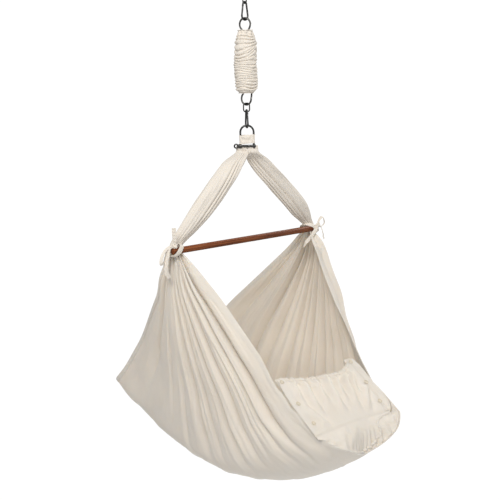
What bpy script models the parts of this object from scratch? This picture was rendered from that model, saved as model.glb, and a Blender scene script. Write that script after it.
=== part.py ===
"""Sprung baby hammock: a canvas cradle on a spreader bar, hung from a ceiling plate by a chain,
two spring hooks, an extension spring in a ruched sleeve and a bow shackle.

Metres, +Z up. The origin is the centre of the ceiling plate's flat top face. X runs along the
spreader bar, the head end of the bed is at +Y and the buttoned foot end is at -Y.
"""

import math

import bmesh
import bpy
from mathutils import Matrix, Vector

# ---------------------------------------------------------------- driving dimensions
GAP = 0.0003
BAR_DROP = 0.7944
BAR_HALF = 0.305
BAR_RADIUS = 0.0095
GROOVE_DEPTH = 0.0012

PLATE_RADIUS = 0.036
PLATE_THICK = 0.004
SCREW_CIRCLE = 0.026
EYE_WIRE = 0.003
EYE_WIDTH = 0.020
EYE_DROP = 0.030

LINK_WIRE = 0.0018
LINK_WIDTH = 0.0125
LINK_LENGTH = 0.0235

HOOK_WIRE = 0.0028
HOOK_LENGTH = 0.0524
HOOK_NARROW = 0.0070
HOOK_WIDE = 0.0120

SPRING_WIRE = 0.0028
COIL_RADIUS = 0.0155
COIL_TURNS = 24
LOOP_HALF_WIDTH = 0.0165
LOOP_HALF_HEIGHT = 0.0185
COVER_RADIUS = 0.0335
COVER_BORE = 0.0215
COVER_MOUTH = 0.0200
COVER_LENGTH = 0.1805

OVAL_WIRE = 0.0020
OVAL_WIDTH = 0.0208
OVAL_LENGTH = 0.0250

BOW_WIRE = 0.0030
BOW_HALF = 0.0200
EAR_RADIUS = 0.0070
EAR_THICK = 0.0070
PIN_RADIUS = 0.0040
PIN_ABOVE_BAR = 0.283

CLOTH = 0.004
HEAD_ANGLE = math.radians(45.0)
FOOT_ANGLE = math.radians(38.5)
PANEL_TOP = 0.060
PANEL_END = 0.640
BASE_START = 0.643
FOAM_THICK = 0.025
SHEET_THICK = 0.002
POCKET_PLAY = 0.0015
BASE_CELLS = 12
HEAD_TRIM = 0.5

FLAP_THICK = 0.0025
FLAP_HINGE = (-0.425, -0.491)
FLAP_TOP = (-0.262, -0.357)
BUTTON_RADIUS = 0.0070
WINDOW_RADIUS = 0.0081

# turn of each hanging piece about the vertical, in degrees from the bar
EYE_TURN = 10.0
LINK_TURNS = (-80.0, 10.0, -80.0)
UPPER_HOOK_TURN = 0.0
UPPER_LOOP_TURN = -60.0
LOWER_LOOP_TURN = -74.0
OVAL_TURN = -14.0
LOWER_HOOK_TURN = 62.0
SHACKLE_TURN = -42.0

# half of the bed's cross-section, (distance from the middle, distance below the bar), at the foot
# edge, in the middle and at the head edge, from the bar end to the keel
FOOT_SECTION = [
    (0.258, 0.0), (0.245, 0.085), (0.220, 0.18), (0.200, 0.29), (0.186, 0.38),
    (0.176, 0.49), (0.172, 0.60), (0.118, 0.700), (0.0, 0.728),
]
MIDDLE_SECTION = [
    (0.285, 0.0), (0.302, 0.10), (0.284, 0.22), (0.256, 0.34), (0.226, 0.45),
    (0.204, 0.56), (0.172, 0.658), (0.100, 0.720), (0.0, 0.738),
]
HEAD_SECTION = [
    (0.300, 0.0), (0.298, 0.11), (0.270, 0.22), (0.236, 0.34), (0.204, 0.45),
    (0.188, 0.56), (0.160, 0.662), (0.090, 0.714), (0.0, 0.728),
]

# ---------------------------------------------------------------- scene and materials


def clear_scene():
    for obj in list(bpy.data.objects):
        bpy.data.objects.remove(obj, do_unlink=True)


def new_collection(name):
    collection = bpy.data.collections.new(name)
    bpy.context.scene.collection.children.link(collection)
    return collection


def material(name, colour, roughness, metallic=0.0):
    made = bpy.data.materials.new(name)
    made.use_nodes = True
    shader = made.node_tree.nodes["Principled BSDF"]
    shader.inputs["Base Color"].default_value = (*colour, 1.0)
    shader.inputs["Roughness"].default_value = roughness
    shader.inputs["Metallic"].default_value = metallic
    return made


clear_scene()
PARTS = new_collection("baby_hammock")
CUTTERS = new_collection("cutters")
STEEL = ("steel", (0.42, 0.42, 0.41), 0.28, 1.0)
WOOD = ("wood", (0.33, 0.11, 0.05), 0.45)
CANVAS = ("canvas", (0.78, 0.72, 0.62), 0.90)
TAPE = ("tape", (0.80, 0.74, 0.64), 0.85)
SHELL = ("button", (0.84, 0.80, 0.70), 0.30)
FOAM = ("foam", (0.85, 0.82, 0.72), 0.95)
RUBBER = ("elastic", (0.80, 0.76, 0.68), 0.80)


def finish(obj, look, smooth=True):
    """Puts the object in the parts collection with a material of its own."""
    for collection in list(obj.users_collection):
        collection.objects.unlink(obj)
    PARTS.objects.link(obj)
    obj.data.materials.clear()
    obj.data.materials.append(material(f"{obj.name}_{look[0]}", *look[1:]))
    if smooth and obj.type == "MESH":
        obj.data.shade_smooth()
        obj.data.set_sharp_from_angle(angle=math.radians(35))
    return obj


def as_cutter(obj):
    for collection in list(obj.users_collection):
        collection.objects.unlink(obj)
    CUTTERS.objects.link(obj)
    obj.hide_render = True
    obj.display_type = "WIRE"
    return obj


def boolean(obj, cutter, operation="DIFFERENCE"):
    modifier = obj.modifiers.new(operation.lower(), "BOOLEAN")
    modifier.operation = operation
    modifier.solver = "EXACT"
    modifier.use_self = True
    modifier.object = cutter


# ---------------------------------------------------------------- shape helpers


def turn(degrees):
    return Matrix.Rotation(math.radians(degrees), 4, "Z")


def place(obj, where, degrees=0.0):
    obj.location = where
    obj.rotation_euler = (0.0, 0.0, math.radians(degrees))
    return obj


def mesh_object(name, points, faces):
    mesh = bpy.data.meshes.new(name)
    mesh.from_pydata([tuple(point) for point in points], [], faces)
    mesh.validate()
    obj = bpy.data.objects.new(name, mesh)
    bpy.context.scene.collection.objects.link(obj)
    return obj


def primitive(name, build, matrix=None):
    """An object from one bmesh primitive; build takes the bmesh."""
    work = bmesh.new()
    build(work)
    if matrix is not None:
        bmesh.ops.transform(work, matrix=matrix, verts=work.verts)
    bmesh.ops.recalc_face_normals(work, faces=work.faces)
    mesh = bpy.data.meshes.new(name)
    work.to_mesh(mesh)
    work.free()
    obj = bpy.data.objects.new(name, mesh)
    bpy.context.scene.collection.objects.link(obj)
    return obj


def add_cylinder(work, radius, length, sides, matrix=None):
    bmesh.ops.create_cone(
        work, cap_ends=True, segments=sides, radius1=radius, radius2=radius, depth=length,
        matrix=matrix or Matrix.Identity(4),
    )


def add_box(work, size, centre):
    matrix = Matrix.Translation(centre) @ Matrix.Diagonal((*size, 1.0))
    bmesh.ops.create_cube(work, size=1.0, matrix=matrix)


def wire(name, points, radius, closed=False, resolution=2):
    """A round wire through the points, as a mesh with welded caps."""
    curve = bpy.data.curves.new(name, "CURVE")
    curve.dimensions = "3D"
    curve.bevel_depth = radius
    curve.bevel_resolution = resolution
    curve.use_fill_caps = not closed
    spline = curve.splines.new("POLY")
    spline.points.add(len(points) - 1)
    for point, where in zip(spline.points, points):
        point.co = (*where, 1.0)
    spline.use_cyclic_u = closed
    draft = bpy.data.objects.new(name + "_draft", curve)
    bpy.context.scene.collection.objects.link(draft)
    graph = bpy.context.evaluated_depsgraph_get()
    mesh = bpy.data.meshes.new_from_object(draft.evaluated_get(graph))
    work = bmesh.new()
    work.from_mesh(mesh)
    bmesh.ops.remove_doubles(work, verts=work.verts, dist=1e-6)
    bmesh.ops.recalc_face_normals(work, faces=work.faces)
    work.to_mesh(mesh)
    work.free()
    mesh.name = name
    obj = bpy.data.objects.new(name, mesh)
    bpy.context.scene.collection.objects.link(obj)
    obj.matrix_world = draft.matrix_world
    bpy.data.objects.remove(draft, do_unlink=True)
    return obj


def arc(centre, radius, first, last, count):
    """Points of an arc in the XZ plane, angles in degrees from +X towards +Z."""
    found = []
    for step in range(count + 1):
        angle = math.radians(first + (last - first) * step / count)
        found.append(
            Vector((centre[0] + radius * math.cos(angle), 0.0, centre[1] + radius * math.sin(angle)))
        )
    return found


def turned(name, profile, steps=24):
    """A turned solid about Z: the profile runs (radius, height) down the outer side."""
    obj = mesh_object(name, [(r, 0.0, z) for r, z in profile], [])
    work = bmesh.new()
    work.from_mesh(obj.data)
    work.verts.ensure_lookup_table()
    for first, second in zip(range(len(profile) - 1), range(1, len(profile))):
        work.edges.new((work.verts[first], work.verts[second]))
    if profile[0][0] > 0.0:
        work.edges.new((work.verts[-1], work.verts[0]))
    work.to_mesh(obj.data)
    work.free()
    screw = obj.modifiers.new("turn", "SCREW")
    screw.steps = steps
    screw.render_steps = steps
    screw.use_merge_vertices = True
    screw.merge_threshold = 0.00005
    screw.use_smooth_shade = True
    return obj


def loft(name, rings):
    """Closed rings of equal count joined by quads, capped at both ends."""
    count = len(rings[0])
    points = [point for ring in rings for point in ring]
    faces = [tuple(reversed(range(count)))]
    for row in range(len(rings) - 1):
        for column in range(count):
            following = (column + 1) % count
            low = row * count
            faces.append((low + column, low + following, low + count + following, low + count + column))
    last = (len(rings) - 1) * count
    faces.append(tuple(range(last, last + count)))
    obj = mesh_object(name, points, faces)
    work = bmesh.new()
    work.from_mesh(obj.data)
    bmesh.ops.recalc_face_normals(work, faces=work.faces)
    work.to_mesh(obj.data)
    work.free()
    return obj


def sheet(name, rows, thickness, outward):
    """An open grid of points made solid towards the side opposite to the outward direction."""
    across = len(rows[0])
    points = [point for row in rows for point in row]
    faces = []
    for row in range(len(rows) - 1):
        for column in range(across - 1):
            low = row * across + column
            faces.append((low, low + 1, low + across + 1, low + across))
    obj = mesh_object(name, points, faces)
    middle = obj.data.polygons[len(faces) // 2]
    if middle.normal.dot(outward(middle.center)) < 0.0:
        obj.data.flip_normals()
    solid = obj.modifiers.new("thickness", "SOLIDIFY")
    solid.thickness = thickness
    solid.offset = -1.0
    solid.use_even_offset = True
    return obj


# ---------------------------------------------------------------- the bed's surface


def on_section(section, t):
    """A smooth curve through the section's points, t from 0 at the bar end to 1 at the keel."""
    count = len(section) - 1
    place_on = min(max(t, 0.0), 1.0) * count
    index = min(int(place_on), count - 1)
    f = place_on - index

    def knot(k):
        if k < 0:
            return 2.0 * Vector(section[0]) - Vector(section[1])
        if k > count:
            mirrored = section[count - 1]
            return Vector((-mirrored[0], mirrored[1]))
        return Vector(section[k])

    a, b, c, d = (knot(index + k) for k in (-1, 0, 1, 2))
    return 0.5 * (2 * b + (c - a) * f + (2 * a - 5 * b + 4 * c - d) * f * f + (3 * b - a - 3 * c + d) * f**3)


def bed_point(u, v):
    """A point of the bed's outer face: u from 0 at the foot edge to 1 at the head edge, v from -1
    at the left bar end through 0 at the keel to 1 at the right bar end."""
    t = 1.0 - abs(v)
    middle = on_section(MIDDLE_SECTION, t)
    if u < 0.5:
        foot = on_section(FOOT_SECTION, t)
        half, deep = foot.lerp(middle, 1.0 - (1.0 - 2.0 * u) ** 3)
    else:
        half, deep = middle.lerp(on_section(HEAD_SECTION, t), (2.0 * u - 1.0) ** 2)
    angle = -FOOT_ANGLE + (HEAD_ANGLE + FOOT_ANGLE) * u
    if u < 0.5:
        low = min(max((deep - 0.54) / 0.13, 0.0), 1.0)
        wide = min(half / 0.15, 1.0)
        angle -= math.radians(6.0) * (1.0 - 2.0 * u) ** 1.5 * low * wide
    side = math.copysign(half, v) if v else 0.0
    return Vector((side, deep * math.sin(angle), -BAR_DROP - deep * math.cos(angle)))


def inside_bed(u, v, depth):
    """A point at the given depth inside the bed's outer face, square to the face."""
    small = 0.01
    along = bed_point(u + small, v) - bed_point(u - small, v)
    across = bed_point(u, v + small) - bed_point(u, v - small)
    normal = along.cross(across).normalized()
    point = bed_point(u, v)
    if normal.dot(from_bar(point)) > 0.0:
        normal.negate()
    return point + normal * depth


def from_bar(point):
    """The direction from the bar's middle to a point of the bed."""
    return Vector(point) - Vector((0.0, 0.0, -BAR_DROP))


# ---------------------------------------------------------------- heights down the suspension

EYE_LOW = -PLATE_THICK - EYE_DROP


def hung(low_wire_z, wire_above, wire_below):
    """Height of a piece's top wire, resting on the bottom wire of the piece that it hangs from."""
    return low_wire_z + wire_above + wire_below + GAP


LINK_TOPS = []
low = EYE_LOW
above = EYE_WIRE
for _ in LINK_TURNS:
    top = hung(low, above, LINK_WIRE)
    LINK_TOPS.append(top)
    low = top - LINK_LENGTH
    above = LINK_WIRE
UPPER_HOOK_TOP = hung(low, LINK_WIRE, HOOK_WIRE)
UPPER_HOOK_LOW = UPPER_HOOK_TOP - HOOK_LENGTH
SPRING_TOP = hung(UPPER_HOOK_LOW, HOOK_WIRE, SPRING_WIRE)

BOW_TOP = -BAR_DROP + PIN_ABOVE_BAR + 0.0615
LOWER_HOOK_LOW = BOW_TOP - HOOK_WIRE - BOW_WIRE - GAP
LOWER_HOOK_TOP = LOWER_HOOK_LOW + HOOK_LENGTH
OVAL_LOW = LOWER_HOOK_TOP - OVAL_WIRE - HOOK_WIRE - GAP
OVAL_TOP = OVAL_LOW + OVAL_LENGTH
SPRING_LOW = OVAL_TOP - OVAL_WIRE - SPRING_WIRE - GAP
PIN_Z = -BAR_DROP + PIN_ABOVE_BAR
COVER_MIDDLE = (SPRING_TOP + SPRING_LOW) / 2.0


# ---------------------------------------------------------------- ceiling fitting and chain


def ceiling_plate():
    def build(work):
        matrix = Matrix.Translation((0.0, 0.0, -PLATE_THICK / 2.0))
        add_cylinder(work, PLATE_RADIUS, PLATE_THICK, 40, matrix)

    plate = primitive("ceiling_plate", build)

    def holes(work):
        for x, y in screw_places():
            add_cylinder(work, 0.0027, 0.02, 16, Matrix.Translation((x, y, 0.0)))

    boolean(plate, as_cutter(primitive("plate_holes", holes)))
    finish(plate, STEEL)


def screw_places():
    return [
        (SCREW_CIRCLE * math.cos(math.radians(45 + 90 * k)), SCREW_CIRCLE * math.sin(math.radians(45 + 90 * k)))
        for k in range(4)
    ]


def ceiling_screws():
    """Pan-head wood screws: the head below the plate, the shank up into the joist."""
    head = 0.0032
    profile = [
        (0.0, 0.032), (0.0021, 0.027), (0.0021, -PLATE_THICK - GAP), (0.0048, -PLATE_THICK - GAP),
        (0.0046, -PLATE_THICK - GAP - 0.6 * head), (0.0030, -PLATE_THICK - GAP - head),
        (0.0, -PLATE_THICK - GAP - head),
    ]
    for number, (x, y) in enumerate(screw_places(), 1):
        screw = turned(f"ceiling_screw_{number}", profile, 12)
        place(finish(screw, STEEL), (x, y, 0.0))


def ceiling_eye():
    """A U of wire welded to the plate by its two ends."""
    half = EYE_WIDTH / 2.0
    bend = [point for point in arc((0.0, half), half, 180.0, 360.0, 12)]
    top = -PLATE_THICK - GAP - EYE_LOW
    points = [Vector((-half, 0.0, top)), *bend, Vector((half, 0.0, top))]
    eye = wire("ceiling_eye", points, EYE_WIRE)
    place(finish(eye, STEEL), (0.0, 0.0, EYE_LOW), EYE_TURN)


def racetrack(width, length, corner, count):
    """Centre line of a link, from its top wire at z 0 down to -length."""
    half = width / 2.0
    inner = half - corner
    points = []
    corners = [
        ((inner, -corner), 90.0), ((inner, -length + corner), 0.0),
        ((-inner, -length + corner), -90.0), ((-inner, -corner), -180.0),
    ]
    for centre, first in corners:
        points += arc(centre, corner, first, first - 90.0, count)
    if inner < 1e-6:
        kept = []
        for point in points:
            if not kept or (point - kept[-1]).length > 1e-5:
                kept.append(point)
        points = kept[:-1] if (kept[0] - kept[-1]).length < 1e-5 else kept
    return points


def chain_links():
    for number, (top, degrees) in enumerate(zip(LINK_TOPS, LINK_TURNS), 1):
        points = racetrack(LINK_WIDTH, LINK_LENGTH, LINK_WIDTH / 2.0, 4)
        link = wire(f"chain_link_{number}", points, LINK_WIRE, closed=True)
        place(finish(link, STEEL), (0.0, 0.0, top), degrees)


def oval_link():
    points = racetrack(OVAL_WIDTH, OVAL_LENGTH, 0.0070, 3)
    link = wire("square_link", points, OVAL_WIRE, closed=True)
    place(finish(link, STEEL), (0.0, 0.0, OVAL_TOP), OVAL_TURN)


# ---------------------------------------------------------------- spring hooks


def hook_sides():
    """Ends of the hook's straight left side, and the slope of its sides from vertical."""
    high = Vector((0.0, 0.0, -HOOK_NARROW))
    lower = Vector((0.0, 0.0, -HOOK_LENGTH + HOOK_WIDE))
    slope = math.asin((HOOK_WIDE - HOOK_NARROW) / (high - lower).length)
    out = Vector((-math.cos(slope), 0.0, math.sin(slope)))
    return high + out * HOOK_NARROW, lower + out * HOOK_WIDE, math.degrees(slope)


def spring_hook(name, top, degrees):
    """A pear-shaped spring hook: bent rod body, forked gate on a rivet at the narrow end."""
    high, lower, slope = hook_sides()
    pivot = high.lerp(lower, 0.14)
    nose = high.lerp(lower, 0.96)
    along = (lower - high).normalized()
    points = [pivot + along * 0.0022, pivot - along * 0.004]
    points += arc((0.0, -HOOK_NARROW), HOOK_NARROW, 180.0 - slope, slope, 8)
    points += arc((0.0, -HOOK_LENGTH + HOOK_WIDE), HOOK_WIDE, slope, -180.0 - slope, 14)
    points.append(nose + along * 0.0004)
    body = wire(name, points, HOOK_WIRE)
    lean = Matrix.Translation(pivot) @ Matrix.Rotation(math.radians(-slope), 4, "Y").inverted()

    def tongue(work):
        for side in (-1.0, 1.0):
            add_box(work, (0.008, 0.004, 0.0080), (0.0, side * 0.0030, -0.0002))
        add_cylinder(work, 0.0013, 0.012, 12, Matrix.Rotation(math.pi / 2.0, 4, "X"))

    boolean(body, place(as_cutter(primitive(name + "_tongue_cut", tongue, lean)), (0, 0, top), degrees))
    place(finish(body, STEEL), (0.0, 0.0, top), degrees)

    length = (nose - pivot).length
    gate = wire(name + "_gate", [-along * 0.0026, along * (length - 0.0004)], 0.0026)

    def fork(work):
        add_box(work, (0.008, 0.0028, 0.0080), (0.0, 0.0, -0.0004))
        add_cylinder(work, 0.0013, 0.012, 12, Matrix.Rotation(math.pi / 2.0, 4, "X"))

    turned_pivot = turn(degrees) @ pivot
    where = Vector((0.0, 0.0, top)) + turned_pivot
    tilt = Matrix.Rotation(math.radians(-slope), 4, "Y").inverted()
    boolean(gate, place(as_cutter(primitive(name + "_fork_cut", fork, tilt)), where, degrees))
    place(finish(gate, STEEL), where, degrees)

    def rivet(work):
        add_cylinder(work, 0.0010, 0.0064, 12, Matrix.Rotation(math.pi / 2.0, 4, "X"))

    place(finish(primitive(name + "_rivet", rivet), STEEL), where, degrees)


# ---------------------------------------------------------------- spring and its sleeve


def end_loop(centre_z, degrees, upwards):
    """The hooked loop at one end of the spring, from where it leaves the coil."""
    sign = 1.0 if upwards else -1.0
    matrix = turn(degrees)
    found = []
    for step in range(17):
        angle = math.radians(235.0 * step / 16.0)
        local = Vector((LOOP_HALF_WIDTH * math.cos(angle), 0.0, sign * LOOP_HALF_HEIGHT * math.sin(angle)))
        found.append(matrix @ local + Vector((0.0, 0.0, centre_z)))
    return found


def lead_in(z_from, z_to, degrees, direction):
    """The wire's turn from the flat coil up into the loop's side."""
    found = []
    for step in range(1, 6):
        share = step / 6.0
        angle = math.radians(degrees - direction * 75.0 * (1.0 - share))
        radius = COIL_RADIUS + (LOOP_HALF_WIDTH - COIL_RADIUS) * share
        height = z_from + (z_to - z_from) * share**2
        found.append(Vector((radius * math.cos(angle), radius * math.sin(angle), height)))
    return found


def extension_spring():
    top_centre = SPRING_TOP - LOOP_HALF_HEIGHT
    low_centre = SPRING_LOW + LOOP_HALF_HEIGHT
    coil_top = top_centre - 0.0225
    coil_low = low_centre + 0.0225
    per_turn = 8
    first = math.radians(LOWER_LOOP_TURN + 75.0)
    last = math.radians(UPPER_LOOP_TURN - 75.0) + 2.0 * math.pi * COIL_TURNS
    count = int((last - first) / (2.0 * math.pi) * per_turn)
    coil = []
    for step in range(count + 1):
        share = step / count
        angle = first + (last - first) * share
        height = coil_low + (coil_top - coil_low) * share
        coil.append(Vector((COIL_RADIUS * math.cos(angle), COIL_RADIUS * math.sin(angle), height)))
    lower = end_loop(low_centre, LOWER_LOOP_TURN, False)
    lower_lead = lead_in(coil_low, low_centre, LOWER_LOOP_TURN, -1.0)
    upper_lead = lead_in(coil_top, top_centre, UPPER_LOOP_TURN, 1.0)
    points = lower[::-1] + lower_lead[::-1] + coil + upper_lead + end_loop(top_centre, UPPER_LOOP_TURN, True)
    pivot = Vector((0.0, 0.0, UPPER_HOOK_LOW))
    spring = wire("extension_spring", [point - pivot for point in points], SPRING_WIRE, resolution=1)
    place(finish(spring, STEEL), pivot)


def spring_cover():
    """The ruched sleeve: outer shape with rounded shoulders, hollow for the spring."""
    half = COVER_LENGTH / 2.0
    outer = COVER_RADIUS
    profile = [
        (COVER_MOUTH, half), (0.0245, half - 0.001), (0.0295, half - 0.010), (outer, half - 0.024),
        (outer + 0.0005, 0.0), (outer, -half + 0.020), (0.0310, -half + 0.006), (0.0270, -half),
        (COVER_MOUTH, -half + 0.001), (COVER_BORE, -half + 0.012), (COVER_BORE, half - 0.012),
    ]
    cover = turned("spring_cover", profile, 24)
    place(finish(cover, CANVAS), (0.0, 0.0, COVER_MIDDLE))


def cover_ties():
    """The cords that draw the sleeve's mouths together."""
    radius = 0.0225
    count = 16
    ring = [
        Vector((radius * math.cos(2 * math.pi * k / count), radius * math.sin(2 * math.pi * k / count), 0.0))
        for k in range(count)
    ]
    offset = COVER_LENGTH / 2.0 + 0.0018
    for name, side in (("cover_tie_upper", 1.0), ("cover_tie_lower", -1.0)):
        tie = wire(name, ring, 0.0014, closed=True, resolution=1)
        place(finish(tie, TAPE), (0.0, 0.0, COVER_MIDDLE + side * offset))


# ---------------------------------------------------------------- shackle


def shackle_bow():
    drop = PIN_Z - BOW_TOP
    left = Vector((-BOW_HALF, 0.0, drop))
    right = Vector((BOW_HALF, 0.0, drop))
    bend = arc((0.0, -BOW_HALF), BOW_HALF, 180.0, 0.0, 14)
    bow = wire("shackle_bow", [left, *bend, right], BOW_WIRE)
    sideways = Matrix.Rotation(math.pi / 2.0, 4, "Y")

    def ears(work):
        for end in (left, right):
            add_cylinder(work, EAR_RADIUS, EAR_THICK, 20, Matrix.Translation(end) @ sideways)

    def bores(work):
        add_cylinder(work, PIN_RADIUS + GAP, 0.08, 20, Matrix.Translation((0, 0, drop)) @ sideways)

    where = (0.0, 0.0, BOW_TOP)
    boolean(bow, place(as_cutter(primitive("shackle_ears", ears)), where, SHACKLE_TURN), "UNION")
    boolean(bow, place(as_cutter(primitive("shackle_bores", bores)), where, SHACKLE_TURN))
    place(finish(bow, STEEL), where, SHACKLE_TURN)


def shackle_pin():
    """Screw pin: a plain shank, a collar against the left ear and a flat round eye."""
    sideways = Matrix.Rotation(math.pi / 2.0, 4, "Y")
    ear_face = BOW_HALF + EAR_THICK / 2.0
    right_end = ear_face + 0.0025
    collar_face = -ear_face - GAP

    def shank(work):
        length = right_end - collar_face + 0.004
        middle = (right_end + collar_face - 0.004) / 2.0
        add_cylinder(work, PIN_RADIUS, length, 20, Matrix.Translation((middle, 0, 0)) @ sideways)

    def collar(work):
        matrix = Matrix.Translation((collar_face - 0.0015, 0, 0)) @ sideways
        add_cylinder(work, 0.0055, 0.003, 20, matrix)

    def eye(work):
        matrix = Matrix.Translation((collar_face - 0.0095, 0, 0)) @ Matrix.Rotation(math.pi / 2.0, 4, "X")
        add_cylinder(work, 0.0078, 0.0045, 20, matrix)

    def eye_hole(work):
        matrix = Matrix.Translation((collar_face - 0.0100, 0, 0)) @ Matrix.Rotation(math.pi / 2.0, 4, "X")
        add_cylinder(work, 0.0031, 0.02, 16, matrix)

    where = (0.0, 0.0, PIN_Z)
    pin = primitive("shackle_pin", shank)
    for name, build, operation in (
        ("pin_collar", collar, "UNION"), ("pin_eye", eye, "UNION"), ("pin_eye_hole", eye_hole, "DIFFERENCE"),
    ):
        boolean(pin, place(as_cutter(primitive(name, build)), where, SHACKLE_TURN), operation)
    place(finish(pin, STEEL), where, SHACKLE_TURN)


# ---------------------------------------------------------------- yoke, bar and ties


def yoke_tab():
    """Folded canvas round both legs of the shackle, with a tail behind the pin."""
    bottom = EAR_RADIUS + 0.0012
    height = 0.0250
    half_deep = 0.0080
    half_wide = BOW_HALF + 0.0035
    outline = []
    for side in (1.0, -1.0):
        for step in range(9):
            angle = math.radians(-90.0 + 180.0 * step / 8.0)
            x = side * (half_wide - 0.0015 + half_deep * math.cos(angle) * 0.8)
            outline.append((x, side * half_deep * math.sin(angle)))
    rings = [[Vector((x, y, z)) for x, y in outline] for z in (bottom, bottom + height)]
    tab = loft("yoke_tab", rings)

    def tail(work):
        add_box(work, (0.026, 0.0070, 0.036), (0.0, 0.0090, bottom + 0.005 - 0.018))

    def legs(work):
        for side in (-1.0, 1.0):
            add_cylinder(work, BOW_WIRE + 2 * GAP, 0.08, 16, Matrix.Translation((side * BOW_HALF, 0, 0.03)))

    where = (0.0, 0.0, PIN_Z)
    boolean(tab, place(as_cutter(primitive("yoke_tail", tail)), where, SHACKLE_TURN), "UNION")
    boolean(tab, place(as_cutter(primitive("yoke_leg_holes", legs)), where, SHACKLE_TURN))
    place(finish(tab, CANVAS), where, SHACKLE_TURN)


def strap(name, side):
    """One arm of the yoke: flat folded canvas from the tab down to the bar end, then behind it."""
    across = turn(SHACKLE_TURN) @ Vector((1.0, 0.0, 0.0))
    behind = turn(SHACKLE_TURN) @ Vector((0.0, 1.0, 0.0))
    start = across * (side * 0.0165) + behind * 0.0085
    # height above the bar, distance out, width, thickness
    slices = [
        (0.258, None, 0.030, 0.012), (0.235, 0.048, 0.052, 0.020), (0.205, 0.080, 0.074, 0.028),
        (0.165, 0.122, 0.094, 0.034), (0.125, 0.162, 0.104, 0.037), (0.085, 0.201, 0.104, 0.036),
        (0.050, 0.235, 0.088, 0.030), (0.026, 0.262, 0.060, 0.021), (0.012, 0.276, 0.044, 0.016),
        (-0.030, 0.277, 0.042, 0.016),
    ]
    rings = []
    for index, (height, out, wide, thick) in enumerate(slices):
        share = index / (len(slices) - 1)
        centre = start.copy() if out is None else Vector((side * out, 0.006, 0.0))
        if height < 0.03:
            centre.y = 0.021
        elif height < 0.06:
            centre.y = 0.014
        centre.z = -BAR_DROP + height
        long_way = across.lerp(Vector((1.0, 0.0, 0.0)), min(1.0, share * 2.5)).normalized()
        short_way = Vector((-long_way.y, long_way.x, 0.0))
        ring = []
        for step in range(14):
            angle = 2.0 * math.pi * step / 14.0
            ring.append(centre + long_way * wide / 2 * math.cos(angle) + short_way * thick / 2 * math.sin(angle))
        rings.append(ring)
    finish(loft(name, rings), CANVAS)


def spreader_bar():
    """A turned hardwood rod with a shallow groove near each end for the ties."""
    radius = BAR_RADIUS
    chamfer = 0.0015
    groove = BAR_HALF - 0.030
    profile = [(0.0, BAR_HALF), (radius - chamfer, BAR_HALF), (radius, BAR_HALF - chamfer)]
    for side in (1.0, -1.0):
        ends = (groove + 0.005, groove + 0.0035, groove - 0.0035, groove - 0.005)
        marks = ends if side > 0 else tuple(reversed(ends))
        depths = (0.0, GROOVE_DEPTH, GROOVE_DEPTH, 0.0)
        profile += [(radius - depth, side * mark) for mark, depth in zip(marks, depths)]
    profile += [(radius, -BAR_HALF + chamfer), (radius - chamfer, -BAR_HALF), (0.0, -BAR_HALF)]
    bar = turned("spreader_bar", profile, 20)
    finish(bar, WOOD)
    bar.location = (0.0, 0.0, -BAR_DROP)
    bar.rotation_euler = (0.0, math.pi / 2.0, 0.0)


def tie(side_name, side):
    """Cotton tie at one bar end: a lashing over the bar and round the canvas behind it, a knot on
    the outside of the bar, one bow loop and the loose tails."""
    bar_z = -BAR_DROP

    def at(out, y, z):
        return Vector((side * out, y, bar_z + z))

    lash = [
        at(0.279, -0.0125, 0.0), at(0.264, -0.0105, 0.0090), at(0.2525, -0.0020, 0.0135),
        at(0.2490, 0.0110, 0.0140), at(0.2490, 0.0240, 0.0090), at(0.2600, 0.0322, 0.0040),
        at(0.2790, 0.0325, 0.0), at(0.2960, 0.0312, -0.0050), at(0.3030, 0.0240, -0.0110),
        at(0.3020, 0.0110, -0.0140), at(0.2990, -0.0030, -0.0135), at(0.2920, -0.0110, -0.0085),
    ]
    finish(wire(f"tie_lashing_{side_name}", lash, 0.0013, closed=True), TAPE)

    def knot(work):
        matrix = Matrix.Translation(at(0.298, -0.003, 0.0180)) @ Matrix.Diagonal((0.0075, 0.006, 0.0065, 1.0))
        bmesh.ops.create_uvsphere(work, u_segments=12, v_segments=8, radius=1.0, matrix=matrix)

    finish(primitive(f"tie_knot_{side_name}", knot), TAPE)
    loops = {
        "left": [(0.3055, -0.004, 0.0195), (0.318, -0.008, 0.018), (0.334, -0.012, 0.002), (0.342, -0.014, -0.018),
                 (0.340, -0.013, -0.034), (0.330, -0.011, -0.036), (0.321, -0.009, -0.022), (0.313, -0.007, -0.002),
                 (0.3085, -0.006, 0.0110)],
        "right": [(0.3035, -0.004, 0.0235), (0.312, -0.008, 0.034), (0.322, -0.012, 0.050), (0.332, -0.014, 0.056),
                  (0.341, -0.015, 0.048), (0.342, -0.014, 0.032), (0.332, -0.011, 0.018), (0.317, -0.007, 0.0145),
                  (0.3070, -0.005, 0.0140)],
    }
    points = [at(*point) for point in loops[side_name]]
    finish(wire(f"tie_loop_{side_name}", points, 0.0012), TAPE)
    tails = {
        "left": [("upper", (0.302, -0.005, 0.0258), (0.309, -0.010, 0.070)),
                 ("lower", (0.3060, -0.0105, 0.0085), (0.330, -0.020, -0.062))],
        "right": [("lower", (0.3065, -0.0095, 0.0085), (0.334, -0.018, -0.036))],
    }
    for which, first, last in tails[side_name]:
        path = [at(*first).lerp(at(*last), share) for share in (0.0, 0.35, 0.7, 1.0)]
        across = Vector((1.0, 0.0, 0.0)).cross(path[-1] - path[0]).normalized()
        wide = (path[-1] - path[0]).normalized().cross(across)
        rings = []
        for row, centre in enumerate(path):
            half = 0.0035 + 0.0030 * min(row, 1)
            thick = 0.0008
            rings.append([
                centre + wide * half + across * thick, centre - wide * half + across * thick,
                centre - wide * half - across * thick, centre + wide * half - across * thick,
            ])
        finish(loft(f"tie_tail_{which}_{side_name}", rings), TAPE, smooth=False)


# ---------------------------------------------------------------- canvas bed


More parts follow.
